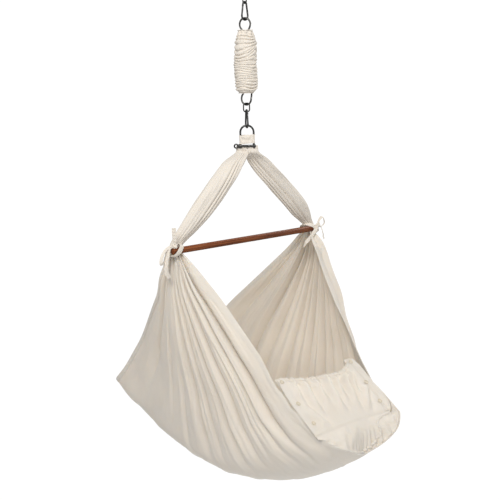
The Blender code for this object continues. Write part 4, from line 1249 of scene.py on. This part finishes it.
# how far the canvas goes round an arm: a full turn and a little overlap
STRAP_WRAP = 2.0 * math.pi * 1.07


def strap(name, side, folds):
    """One arm of the yoke: the canvas wrapped on itself lengthwise, with one free hemmed edge."""
    rows = smooth_path(strap_rows(side), 12)
    down = np.linspace(0, 1, len(rows))[:, None]
    s = np.linspace(0, 1, 200)[None, :]
    wander = 0.012 * np.sin(5 * down + 9 * s)
    angle = math.radians(150.0 if side < 0 else 20.0) + side * STRAP_WRAP * s
    centre = rows[:, None, 0:3]
    long_way = unit(rows[:, None, 3:6])
    short_way = xyz(-long_way[..., 1], long_way[..., 0], 0.0)
    half_wide = rows[:, 6][:, None] / 2
    half_thick = rows[:, 7][:, None] / 2
    depth = np.zeros(wander.shape)
    for place_on, deep, wide in folds:
        away = np.abs(s + wander - place_on)
        depth += deep * np.exp(-(np.sqrt(away**2 + 0.003**2) - 0.003) / wide)
    depth += 0.0006 * np.sin(2 * math.pi * (19 * s + 0.5 * np.sin(6 * s + 2 * down)))
    depth *= np.clip(half_thick / 0.017, 0.35, 1.0)
    overlap = 0.0042 * s
    soft = 0.0009 * waves(s * 5, down * 2.5, 31 if side < 0 else 32, 20)
    reach_wide = half_wide - depth + overlap + soft
    reach_thick = half_thick - depth * 0.9 + overlap + soft
    points = centre + long_way * (reach_wide * np.cos(angle))[..., None]
    points = points + short_way * (reach_thick * np.sin(angle))[..., None]
    arm = cloth(name + "_cloth", points, STRAP_CLOTH, 0.0012)
    fixed(arm, "hammock", name)
    sewn = slice(10, -16)
    outward = unit(points[sewn, -5] - centre[sewn, 0])
    for label, column in (("edge", -5), ("inner", -14)):
        seam = stitches(f"{name}_{label}_stitches", points[sewn, column] + outward * 0.0007, outward)
        fixed(seam, "hammock")


def yoke_tab():
    """Folded canvas round both legs of the shackle, above the pin."""
    pin_low, pin_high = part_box("shackle_pin")
    bottom = (pin_low.z + pin_high.z) / 2.0 + 0.0075
    height, half_wide = 0.0258, 0.0235
    rows, columns = 40, 130
    angle = circle(columns)[None, :]
    up = np.linspace(0, 1, rows)[:, None]
    cosine, sine = np.cos(angle), np.sin(angle)
    pinched = 1.0 - 0.28 * np.sin(math.pi * up) * np.abs(cosine) ** 6 < 0.9
    deep = 0.0070 * (1.0 + 0.10 * np.sin(3 * math.pi * up))
    ruffle = 0.0009 * np.sin(5 * angle + 9 * up) * (1 - np.abs(2 * up - 1) ** 3)
    ruffle = ruffle + 0.0007 * np.sin(11 * angle - 5 * up)
    x = half_wide * np.sign(cosine) * np.abs(cosine) ** 0.55 * (1.0 - 0.03 * pinched)
    y = deep * np.sign(sine) * np.abs(sine) ** 0.8 + ruffle
    z = bottom + height * up + 0.0018 * cosine + 0.0008 * np.sin(4 * angle)
    points = placed(xyz(x, y, z), (0, 0, 0), SHACKLE_TURN)
    tab = cloth("yoke_tab_cloth", points, STRAP_CLOTH, 0.0014, wrap=True)
    fixed(tab, "hammock", "yoke_tab")
    for row in (4, 34):
        ring = points[row, :columns // 2 + 1]
        outward = ring - points[row].mean(axis=0)
        outward[:, 2] = 0
        outward = unit(outward)
        seam = stitches(f"tab_stitches_{row}", ring + outward * 0.0008, outward, pitch=0.0034, long=0.0023)
        fixed(seam, "hammock")


# ---------------------------------------------------------------- bar and ties


def spreader_bar():
    """The turned bar: its two ends eased, with a shallow groove near each for the tie."""
    half, r = BAR_HALF, BAR_RADIUS
    groove = half - 0.030
    eased = [(r * 0.45, 0.0), (r - 0.0022, 0.0), (r - 0.0009, 0.0004), (r - 0.0002, 0.0012), (r, 0.0024)]
    cove = [(-0.0052, 0.0), (-0.0042, 0.0004), (-0.0036, 0.0011)]
    cove = cove + [(-shift, deep) for shift, deep in reversed(cove)]
    low_end = [(0.0, -half)] + [(radius, inset - half) for radius, inset in eased]
    low_end += [(r - deep, shift - groove) for shift, deep in cove]
    profile = [(radius, -height) for radius, height in low_end] + low_end[::-1]
    matrix = Matrix.Translation((0, 0, BAR_Z)) @ Matrix.Rotation(math.pi / 2, 4, "Y")
    bar = turned_solid("turned_bar", profile, 72, WOOD, matrix)
    fixed(bar, "hammock", "spreader_bar", slot="stained_wood")


def tape(name, path, flat_way, width, twist=0.0, ripple=0.0, per_span=10, taper=((0, 1), (1, 1))):
    """A flat woven tape along a path; flat_way is the direction across the tape at its start."""
    line = smooth_path(path, per_span)
    tangents = unit(np.gradient(line, axis=0))
    ways = np.broadcast_to(flat_way, line.shape)
    across = unit(ways - tangents * np.sum(ways * tangents, axis=1)[:, None])
    up = np.cross(tangents, across)
    share = np.linspace(0, 1, len(line))[:, None]
    spun = across * np.cos(twist * share) + up * np.sin(twist * share)
    out = np.cross(tangents, spun)
    widths = width * np.interp(share, *zip(*taper))
    place_on = np.linspace(-0.5, 0.5, 9)[None, :]
    wrinkle = ripple * np.sin(share * 34 + place_on * 5) * np.cos(place_on * 6)
    curl = width * 0.06 * (1 - (2 * place_on) ** 2)
    points = line[:, None] + spun[:, None] * (place_on * widths)[..., None]
    return cloth(name, points + out[:, None] * (wrinkle + curl)[..., None], TAPE, 0.0010)


# the ties' routes: distance out from the middle, Y, and height above the bar's axis
LASHING = [
    (0.2860, -0.0125, 0.0), (0.2770, -0.0102, 0.0090), (0.2680, -0.0005, 0.0132),
    (0.2640, 0.0130, 0.0142), (0.2640, 0.0280, 0.0108), (0.2720, 0.0385, 0.0040),
    (0.2850, 0.0395, -0.0020), (0.2940, 0.0350, -0.0080), (0.2990, 0.0220, -0.0130),
    (0.3000, 0.0060, -0.0138), (0.2985, -0.0058, -0.0128), (0.2930, -0.0118, -0.0072),
    (0.2860, -0.0134, 0.0), (0.2775, -0.0110, 0.0090),
]
# how much of the second turn's lean each point of the lashing takes
LASHING_LEAN = (0, 0, 1, 1, 1, 0, 0, 0, -1, -1, 0, 0, 0, 0)
ACROSS_NECK = [
    (0.2950, -0.0150, 0.0110), (0.2800, -0.0195, -0.0010), (0.2670, -0.0175, -0.0170),
    (0.2570, -0.0115, -0.0300), (0.2480, -0.0050, -0.0430), (0.2430, 0.0000, -0.0560),
]
LOOPS = {
    "left": (0.125, [
        (0.300, -0.004, 0.016), (0.312, 0.004, 0.014), (0.330, 0.004, 0.004), (0.342, 0.003, -0.012),
        (0.347, 0.002, -0.028), (0.341, 0.004, -0.036), (0.331, 0.007, -0.024), (0.323, 0.008, -0.006),
        (0.312, 0.005, 0.010),
    ]),
    "right": (0.088, [
        (0.299, -0.009, 0.012), (0.303, -0.012, 0.024), (0.310, -0.014, 0.033), (0.318, -0.014, 0.034),
        (0.325, -0.014, 0.026), (0.327, -0.013, 0.014), (0.320, -0.012, 0.006), (0.310, -0.011, 0.004),
        (0.302, -0.010, 0.006),
    ]),
}
# which tail, its width, its length when flat, and its route
TAILS = {
    "left": [
        ("upper", 0.0125, 0.055, [
            (0.300, -0.006, 0.021), (0.3035, -0.009, 0.036), (0.3075, -0.012, 0.054),
            (0.3085, -0.014, 0.070),
        ]),
        ("lower", 0.0150, 0.105, [
            (0.305, 0.000, 0.015), (0.3185, 0.001, 0.008), (0.3225, 0.001, -0.006), (0.3275, 0.001, -0.022),
            (0.331, 0.000, -0.038), (0.332, -0.003, -0.054), (0.328, -0.009, -0.074),
        ]),
    ],
    "right": [
        ("lower", 0.0110, 0.055, [
            (0.302, -0.009, 0.010), (0.311, -0.013, 0.002), (0.318, -0.014, -0.014),
            (0.3225, -0.015, -0.038),
        ]),
    ],
}
KNOT_CENTRES = {"left": (0.2985, -0.0040, 0.0155), "right": (0.3005, -0.0105, 0.0105)}


def tie(side_name, side):
    """The cotton tie at one bar end: turns of tape round the bar and the cloth, a knot, a bow loop
    and loose tails."""
    def at_end(route):
        return np.asarray(route) * (side, 1.0, 1.0) + (0.0, 0.0, BAR_Z)

    def tied(piece, node):
        return fixed(piece, "hammock", f"tie_{node}_{side_name}", slot="cotton_tape")

    turns = []
    for number, (shift, lean) in enumerate(((0.0, 0.0), (0.0050, 0.0015))):
        ring = at_end(LASHING + xyz(shift, 0.0, lean * np.array(LASHING_LEAN)))
        name = f"turn_{side_name}_{number}"
        turns.append(tape(name, ring, (side, 0.0, 0.45), 0.0100, ripple=0.0005, per_span=7))
    if side > 0:
        crossing = at_end(ACROSS_NECK)
        turns.append(tape("turn_across_neck", crossing, (0.8, 0.0, 0.6), 0.0110, twist=2.6, ripple=0.0008))
    tied(joined(f"lashing_{side_name}", turns), "lashing")
    knot = tied(tie_knot(f"knot_{side_name}", at_end(KNOT_CENTRES[side_name]), side), "knot")
    long, route = LOOPS[side_name]
    loop = tape(
        f"bow_loop_{side_name}", at_end(route), (0.0, 1.0, 0.25), 0.0102, twist=0.9 * side, ripple=0.0004,
        taper=((0, 0.55), (0.3, 1), (0.7, 1), (1, 0.55)),
    )
    tied(loop, "loop")
    for which, wide, long, route in TAILS[side_name]:
        tail = tape(
            f"tail_{which}_{side_name}", at_end(route), (0.75 * side, 1.0, 0.0), wide, twist=0.5,
            ripple=0.0009, taper=((0, 0.5), (0.3, 0.9), (1, 1)),
        )
        tied(tail, f"tail_{which}")


# a knot's three wraps: tilt in degrees, reach and thickness
KNOT_WRAPS = ((25, 0.0060, 0.0031), (-40, 0.0052, 0.0029), (80, 0.0045, 0.0027))


def tie_knot(name, centre, side):
    """An overhand knot of tape: crossing wraps round a small core."""
    angles = circle(28)
    parts = []
    for number, (tilt, spread, size) in enumerate(KNOT_WRAPS):
        lean = math.radians(tilt)
        out = spread * np.cos(angles)
        path = xyz(
            side * out * math.cos(lean), spread * 0.55 * np.sin(angles + number),
            out * math.sin(lean) + 0.0032 * np.sin(angles),
        )
        radius = size * (1 + 0.12 * np.sin(3 * angles))
        parts.append(tube(f"{name}_{number}", path + centre, radius, TAPE, closed=True, sides=12))
    return joined(name, parts)


# ---------------------------------------------------------------- spring and sleeve


def extension_spring():
    """One length of wire: the lower end loop, the coils and the upper end loop."""
    wire, coil_radius, half_width, half_height, turns = 0.0028, 0.0155, 0.0165, 0.0185, 24
    sweep = 75.0
    low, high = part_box("extension_spring")
    top_centre = high.z - wire - half_height
    low_centre = low.z + wire + half_height
    coil_top = top_centre - 0.0225
    coil_low = low_centre + 0.0225

    def end_loop(centre_z, degrees, sign):
        angles = np.radians(235.0 * np.arange(33) / 32)
        local = xyz(half_width * np.cos(angles), 0.0, sign * half_height * np.sin(angles))
        return placed(local, (0, 0, centre_z), degrees)

    def lead_in(z_from, z_to, degrees, direction):
        share = np.arange(1, 12) / 12.0
        angles = np.radians(degrees - direction * sweep * (1 - share))
        radius = coil_radius + (half_width - coil_radius) * share
        return xyz(radius * np.cos(angles), radius * np.sin(angles), z_from + (z_to - z_from) * share**2)

    first = math.radians(LOWER_LOOP_TURN + sweep)
    last = math.radians(UPPER_LOOP_TURN - sweep) + 2 * math.pi * turns
    share = np.linspace(0, 1, turns * 20)
    angles = first + (last - first) * share
    climb = coil_low + (coil_top - coil_low) * share
    coil = xyz(coil_radius * np.cos(angles), coil_radius * np.sin(angles), climb)
    path = np.vstack([
        end_loop(low_centre, LOWER_LOOP_TURN, -1.0)[::-1],
        lead_in(coil_low, low_centre, LOWER_LOOP_TURN, -1.0)[::-1], coil,
        lead_in(coil_top, top_centre, UPPER_LOOP_TURN, 1.0), end_loop(top_centre, UPPER_LOOP_TURN, 1.0),
    ])
    spring = tube("coiled_spring", path, wire, SPRING_STEEL, sides=14)
    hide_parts("extension_spring")
    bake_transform(spring)


# the sleeve's radius down its length, from its upper mouth to its lower one
SLEEVE_OUTLINE = [
    (0.0, 0.0186), (0.02, 0.0196), (0.07, 0.0222), (0.13, 0.0268), (0.19, 0.0300), (0.5, 0.0318),
    (0.90, 0.0313), (0.95, 0.0292), (0.985, 0.0258), (1.0, 0.0205),
]
SLEEVE_CLEAR = 0.0198


def spring_cover():
    """The ruched sleeve: a cotton tube far longer than the spring, pushed up in crowded rings."""
    low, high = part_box("spring_cover")
    middle = (low.z + high.z) / 2
    half = (high.z - low.z) / 2
    share = np.linspace(0, 1, 420)[:, None]
    angle = circle(190)[None, :]
    metres = 2 * half * share
    body = np.interp(share, *zip(*SLEEVE_OUTLINE))
    warp = 0.30 * ring_waves(angle, metres, 41, 16, 2, 2.0, 9.0)
    warp = warp + 0.16 * ring_waves(angle, metres, 42, 16, 4, 6.0, 16.0)
    phase = 17.0 * share + 0.3 * np.sin(3.1 * share * math.pi) + warp
    fold = 1.0 - np.abs(np.sin(math.pi * phase)) ** 0.62
    cross = 1.6 * phase + 0.35 + 0.5 * ring_waves(angle, metres, 43, 12, 3, 4.0, 12.0)
    second = 1.0 - np.abs(np.sin(math.pi * cross)) ** 0.7
    strength = np.clip(0.62 + 0.50 * ring_waves(angle, metres, 44, 14, 3, 3.0, 14.0), 0.1, 1.1)
    ends = rise(share, 0.0, 0.10) * smoothstep((1 - share) / 0.05)
    depth = (0.0078 * fold * strength + 0.0034 * second * (1.15 - strength)) * (0.25 + 0.75 * ends)
    flutes = 0.0022 * np.sin(11 * angle + 1.3 * np.sin(2 * angle)) * fall(share, 0.03, 0.15)
    fuzz = 0.0012 + 0.0018 * ends + 0.0004 * ring_waves(angle, metres, 45, 20, 8, 10.0, 50.0)
    radius = np.maximum(body - depth + flutes + fuzz, SLEEVE_CLEAR)
    sway = 0.0008 * np.sin(9 * share)
    height = middle + half - metres + 0.00088 * warp
    points = xyz(radius * np.cos(angle) + sway, radius * np.sin(angle) - sway, height)
    sleeve = cloth("ruched_sleeve", points, SLEEVE_CLOTH, 0.0011, wrap=True)
    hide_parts("spring_cover")
    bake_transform(sleeve)


def cover_ties():
    """The draw cords that close the sleeve's mouths: two twisted plies each."""
    angles = circle(120)
    ply = 0.00062
    for name, body in (("cover_tie_upper", "spring_top"), ("cover_tie_lower", "spring_tail")):
        low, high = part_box(name)
        plies = []
        for number in range(2):
            spin = angles * 34 + math.pi * number
            radius = 0.0222 + ply * np.cos(spin)
            height = (low.z + high.z) / 2 + ply * np.sin(spin)
            path = xyz(radius * np.cos(angles), radius * np.sin(angles), height)
            plies.append(tube(f"{name}_ply_{number}", path, 0.00078, CORD, closed=True, sides=8))
        fixed(joined(name + "_cord", plies), body, name, slot="cotton_tape")


# ---------------------------------------------------------------- hardware


def racetrack(width, length, corner, count, top):
    """Centre line of a link in the XZ plane, from its top wire down."""
    half = width / 2.0
    inner = half - corner
    points = []
    for centre, first in (
        ((inner, -corner), 90.0), ((inner, -length + corner), 0.0),
        ((-inner, -length + corner), -90.0), ((-inner, -corner), -180.0),
    ):
        points.append(arc(centre, corner, first, first - 90.0, count))
    path = np.vstack(points) + (0, 0, top)
    apart = np.linalg.norm(path - np.roll(path, -1, 0), axis=1) > 1e-5
    return path[apart]


def steel_piece(obj, body, *nodes):
    return fixed(obj, body, *nodes, slot="zinc_steel")


def chain():
    """The three welded links, and the square link under the spring."""
    wire = 0.0018
    for number, degrees in enumerate(LINK_TURNS, 1):
        low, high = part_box(f"chain_link_{number}")
        path = racetrack(0.0125, high.z - low.z - 2 * wire, 0.00625, 14, high.z - wire)
        swell = wire * (1.0 + 0.10 * hill(np.arange(len(path)), 14.0, 1.6))
        made = tube(f"welded_link_{number}", placed(path, (0, 0, 0), degrees), swell, STEEL, closed=True)
        steel_piece(made, f"chain_link_{number}", f"chain_link_{number}")
    low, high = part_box("square_link")
    wire = 0.0020
    path = racetrack(0.0208, high.z - low.z - 2 * wire, 0.0070, 10, high.z - wire)
    made = tube("wire_square_link", placed(path, (0, 0, 0), OVAL_TURN), wire, STEEL, closed=True)
    steel_piece(made, "square_link", "square_link")


def ceiling_fitting():
    """The eye welded to the plate, and the plate's four screws."""
    low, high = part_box("ceiling_eye")
    wire, half = 0.003, 0.010
    centre = low.z + wire + half
    bend = arc((0.0, centre), half, 180.0, 360.0, 30)
    path = np.vstack([[(-half, 0, high.z)], bend, [(half, 0, high.z)]])
    eye = tube("welded_eye", placed(path, (0, 0, 0), EYE_TURN), wire, PLATE_STEEL, sides=24)
    steel_piece(eye, "ceiling_mount", "ceiling_eye")
    beads = []
    angles = circle(32)
    bead = 0.0011 * (1 + 0.2 * np.sin(9 * angles))
    for name, side in SIDES:
        ring = xyz(side * half + 0.0034 * np.cos(angles), 0.0034 * np.sin(angles), high.z - 0.0012)
        ring = placed(ring, (0, 0, 0), EYE_TURN)
        beads.append(tube(f"bead_{name}", ring, bead, PLATE_STEEL, closed=True, sides=10))
    steel_piece(joined("weld_beads", beads), "ceiling_mount")
    plate = bpy.data.objects["ceiling_plate"]
    plate.data.materials.clear()
    plate.data.materials.append(PLATE_STEEL)
    for number in range(1, 5):
        low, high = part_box(f"ceiling_screw_{number}")
        x, y = (low.x + high.x) / 2, (low.y + high.y) / 2
        wood_screw(number, x, y, high.z, low.z)


def wood_screw(number, x, y, tip, head_face):
    """A pan-head wood screw with a helical thread and a cross recess."""
    seat = head_face + 0.0032
    profile = [
        (0.0, tip), (0.0006, tip - 0.0014), (0.0014, tip - 0.005), (0.0014, seat + 0.006),
        (0.0018, seat + 0.005), (0.0018, seat), (0.0046, seat), (0.0048, seat - 0.0008),
        (0.0044, seat - 0.0020), (0.0034, seat - 0.0029), (0.0018, seat - 0.0032), (0.0, seat - 0.0032),
    ]
    screw = turned_solid(f"wood_screw_{number}", profile, 32, PLATE_STEEL)

    def recess(work):
        for angle in (0.0, math.pi / 2):
            matrix = Matrix.Translation((0, 0, head_face)) @ Matrix.Rotation(angle + 0.4 * number, 4, "Z")
            add_box(work, (0.0044, 0.0010, 0.0030), matrix)

    boolean(screw, cutter_mesh("recess", recess))
    turns = 13
    share = np.linspace(0, 1, turns * 14)
    angles = 2 * math.pi * turns * share
    crest = (0.0014 + 0.0002 * rise(share, 0.0, 0.1)) * smoothstep((1.04 - share) / 0.2)
    start = seat + 0.006
    path = xyz(crest * np.cos(angles), crest * np.sin(angles), start + (tip - 0.003 - start) * share)
    thread = tube(f"screw_thread_{number}", path, 0.00042, PLATE_STEEL, sides=6)
    whole = joined(f"pan_screw_{number}", [screw, thread])
    whole.data.transform(Matrix.Translation((x, y, 0)))
    steel_piece(whole, "ceiling_mount", f"ceiling_screw_{number}")


def spring_hook(name, degrees, body_name, gate_body):
    """A pear-shaped spring hook: bent rod body, forked gate and its domed rivet."""
    wire, length_all, narrow, wide = 0.0028, 0.0524, 0.0070, 0.0120
    low, high_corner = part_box(name)
    top = high_corner.z - wire
    high = np.array([0.0, 0.0, -narrow])
    lower = np.array([0.0, 0.0, -length_all + wide])
    slope = math.asin((wide - narrow) / np.linalg.norm(high - lower))
    out = np.array([-math.cos(slope), 0.0, math.sin(slope)])
    high, lower = high + out * narrow, lower + out * wide
    pivot = high + (lower - high) * 0.14
    nose = high + (lower - high) * 0.96
    along = unit(lower - high)
    lean = math.degrees(slope)
    path = np.vstack([
        [pivot + along * 0.0022, pivot, pivot - along * 0.004],
        arc((0.0, -narrow), narrow, 180.0 - lean, lean, 26),
        arc((0.0, -length_all + wide), wide, lean, -180.0 - lean, 44),
        [nose + along * 0.0004],
    ])
    sideways = Matrix.Rotation(math.pi / 2, 4, "X")
    turned = Matrix.Translation((0, 0, top)) @ Matrix.Rotation(math.radians(degrees), 4, "Z")
    tilt = Matrix.Translation(Vector(pivot)) @ Matrix.Rotation(math.radians(-lean), 4, "Y").inverted()

    def tongue(work):
        for side in (-1.0, 1.0):
            add_box(work, (0.008, 0.004, 0.0080), Matrix.Translation((0.0, side * 0.0030, -0.0002)))

    body = tube(f"{name}_body", placed(path, (0, 0, top), degrees), wire, STEEL, sides=24)
    boolean(body, cutter_mesh("tongue", tongue, turned @ tilt))
    steel_piece(body, body_name, name)
    reach = np.linalg.norm(nose - pivot)
    gate_path = pivot + along * np.array([-0.0026, 0.0, reach * 0.5, reach - 0.0004])[:, None]
    gate = tube(f"{name}_gate_rod", placed(gate_path, (0, 0, top), degrees), 0.0026, STEEL, sides=24)

    def fork(work):
        add_box(work, (0.008, 0.0028, 0.0080), Matrix.Translation((0.0, 0.0, -0.0004)))

    boolean(gate, cutter_mesh("fork", fork, turned @ tilt))
    steel_piece(gate, gate_body, f"{name}_gate")
    dome = [(0.0, 0.0034), (0.0009, 0.0033), (0.0016, 0.0029), (0.0018, 0.0026), (0.0010, 0.0025)]
    profile = dome + [(radius, -height) for radius, height in reversed(dome)]
    rivet = turned_solid(f"{name}_domed_rivet", profile, 24, STEEL, turned @ tilt @ sideways)
    steel_piece(rivet, body_name, f"{name}_rivet")


def shackle():
    """The bow with its two bored ears, and the screw pin with its flat eye."""
    wire, half, ear, ear_thick, pin_radius = 0.0030, 0.0200, 0.0070, 0.0070, 0.0040
    _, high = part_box("shackle_bow")
    bow_top = high.z - wire
    pin_low, pin_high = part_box("shackle_pin")
    pin_z = (pin_low.z + pin_high.z) / 2
    drop = pin_z - bow_top
    path = np.vstack([
        [(-half, 0, drop), (-half, 0, drop * 0.75)], arc((0.0, -half), half, 180.0, 0.0, 44),
        [(half, 0, drop * 0.75), (half, 0, drop)],
    ])
    turned = Matrix.Translation((0, 0, bow_top)) @ Matrix.Rotation(math.radians(SHACKLE_TURN), 4, "Z")
    sideways = Matrix.Rotation(math.pi / 2, 4, "Y")
    bow = tube("forged_bow", placed(path, (0, 0, bow_top), SHACKLE_TURN), wire, STEEL, sides=28)

    def ears(work):
        for side in (-1.0, 1.0):
            add_cylinder(work, ear, ear_thick, 40, Matrix.Translation((side * half, 0, drop)) @ sideways)
        bmesh.ops.bevel(
            work, geom=[e for e in work.edges if len(e.link_faces) == 2 and e.calc_face_angle(0) > 1.0],
            offset=0.0008, segments=3, affect="EDGES",
        )

    def bores(work):
        add_cylinder(work, pin_radius + 0.0003, 0.08, 32, Matrix.Translation((0, 0, drop)) @ sideways)

    boolean(bow, cutter_mesh("ears", ears, turned), "UNION")
    boolean(bow, cutter_mesh("bores", bores, turned))
    steel_piece(bow, "hammock", "shackle_bow")
    face = half + ear_thick / 2
    right_end = face + 0.0025
    collar = -face - 0.0003
    r = pin_radius
    profile = [
        (0.0, right_end), (r - 0.0010, right_end), (r, right_end - 0.0008), (r, face - 0.006),
        (r - 0.0004, face - 0.007), (r - 0.0004, -face + 0.002), (r, -face), (r, collar), (0.0055, collar),
        (0.0058, collar - 0.0006), (0.0058, collar - 0.0024), (0.0054, collar - 0.0030),
        (0.0030, collar - 0.0036), (0.0, collar - 0.0040),
    ]
    pin_matrix = Matrix.Translation((0, 0, pin_z)) @ Matrix.Rotation(math.radians(SHACKLE_TURN), 4, "Z")
    pin = turned_solid("collared_pin", profile, 32, STEEL, pin_matrix @ sideways)
    angles = circle(40)
    eye_radius = 0.0055
    ring = xyz(collar - 0.0095 + eye_radius * np.cos(angles), 0.0, eye_radius * np.sin(angles))
    ring = placed(ring, (0, 0, pin_z), SHACKLE_TURN)
    eye = tube("pin_eye_ring", ring, 0.0023, STEEL, closed=True, sides=18)
    whole = joined("screw_pin", [pin, eye])
    steel_piece(whole, "shackle_pin", "shackle_pin")


# ---------------------------------------------------------------- room and light


FLOOR_Z = -2.45
LAMP_WHITE = (1.0, 0.985, 0.96)


def room():
    """A plain pale floor, a white backdrop and soft studio light."""
    mesh = bpy.data.meshes.new("floor")
    work = bmesh.new()
    below = Matrix.Translation((0, 0, FLOOR_Z))
    bmesh.ops.create_circle(work, cap_ends=True, segments=96, radius=1.9, matrix=below)
    work.to_mesh(mesh)
    work.free()
    floor = bpy.data.objects.new("floor", mesh)
    bpy.context.scene.collection.objects.link(floor)
    floor.data.materials.append(floor_material())
    world = bpy.data.worlds.new("studio")
    bpy.context.scene.world = world
    world.use_nodes = True
    tree = world.node_tree
    tree.nodes.clear()
    output = tree.nodes.new("ShaderNodeOutputWorld")
    path = tree.nodes.new("ShaderNodeLightPath")
    mix = tree.nodes.new("ShaderNodeMixShader")
    tree.links.new(path.outputs["Is Camera Ray"], mix.inputs[0])
    # what lights the object, and the brighter white that is seen behind it
    for socket, strength, colour in ((1, 0.41, (1.0, 0.995, 0.985, 1.0)), (2, 1.05, (1.0, 1.0, 1.0, 1.0))):
        background = tree.nodes.new("ShaderNodeBackground")
        background.inputs["Strength"].default_value = strength
        background.inputs["Color"].default_value = colour
        tree.links.new(background.outputs[0], mix.inputs[socket])
    tree.links.new(mix.outputs[0], output.inputs[0])
    area_light("key", (-0.9, -3.5, 0.0), (0.0, 0.0, -1.0), 1.6, 28.0, LAMP_WHITE)
    area_light("high", (-2.5, -1.6, 1.7), (0.1, 0.0, -1.0), 1.4, 93.0, LAMP_WHITE)
    area_light("side", (3.0, 0.6, 0.4), (0.0, 0.0, -1.0), 2.2, 66.0, (1.0, 0.99, 0.97))


def area_light(name, where, towards, size, watts, colour):
    data = bpy.data.lights.new(name, "AREA")
    data.size = size
    data.energy = watts
    data.color = colour
    lamp = bpy.data.objects.new(name, data)
    bpy.context.scene.collection.objects.link(lamp)
    lamp.location = where
    lamp.rotation_euler = (Vector(towards) - Vector(where)).to_track_quat("-Z", "Y").to_euler()


# ---------------------------------------------------------------- everything in place

bed()
mattress()
inner_sheet()
foot_flap()
flap_elastic()
foot_gusset()
button_bands()
buttons()
yoke_tab()
strap("yoke_strap_left", -1.0, LEFT_STRAP_FOLDS)
strap("yoke_strap_right", 1.0, RIGHT_STRAP_FOLDS)
spreader_bar()
for name, side in SIDES:
    tie(name, side)
extension_spring()
spring_cover()
cover_ties()
chain()
ceiling_fitting()
spring_hook("upper_hook", UPPER_HOOK_TURN, "upper_hook", "upper_gate")
spring_hook("lower_hook", LOWER_HOOK_TURN, "lower_hook", "lower_gate")
shackle()
room()
bpy.context.scene.view_settings.view_transform = "Standard"
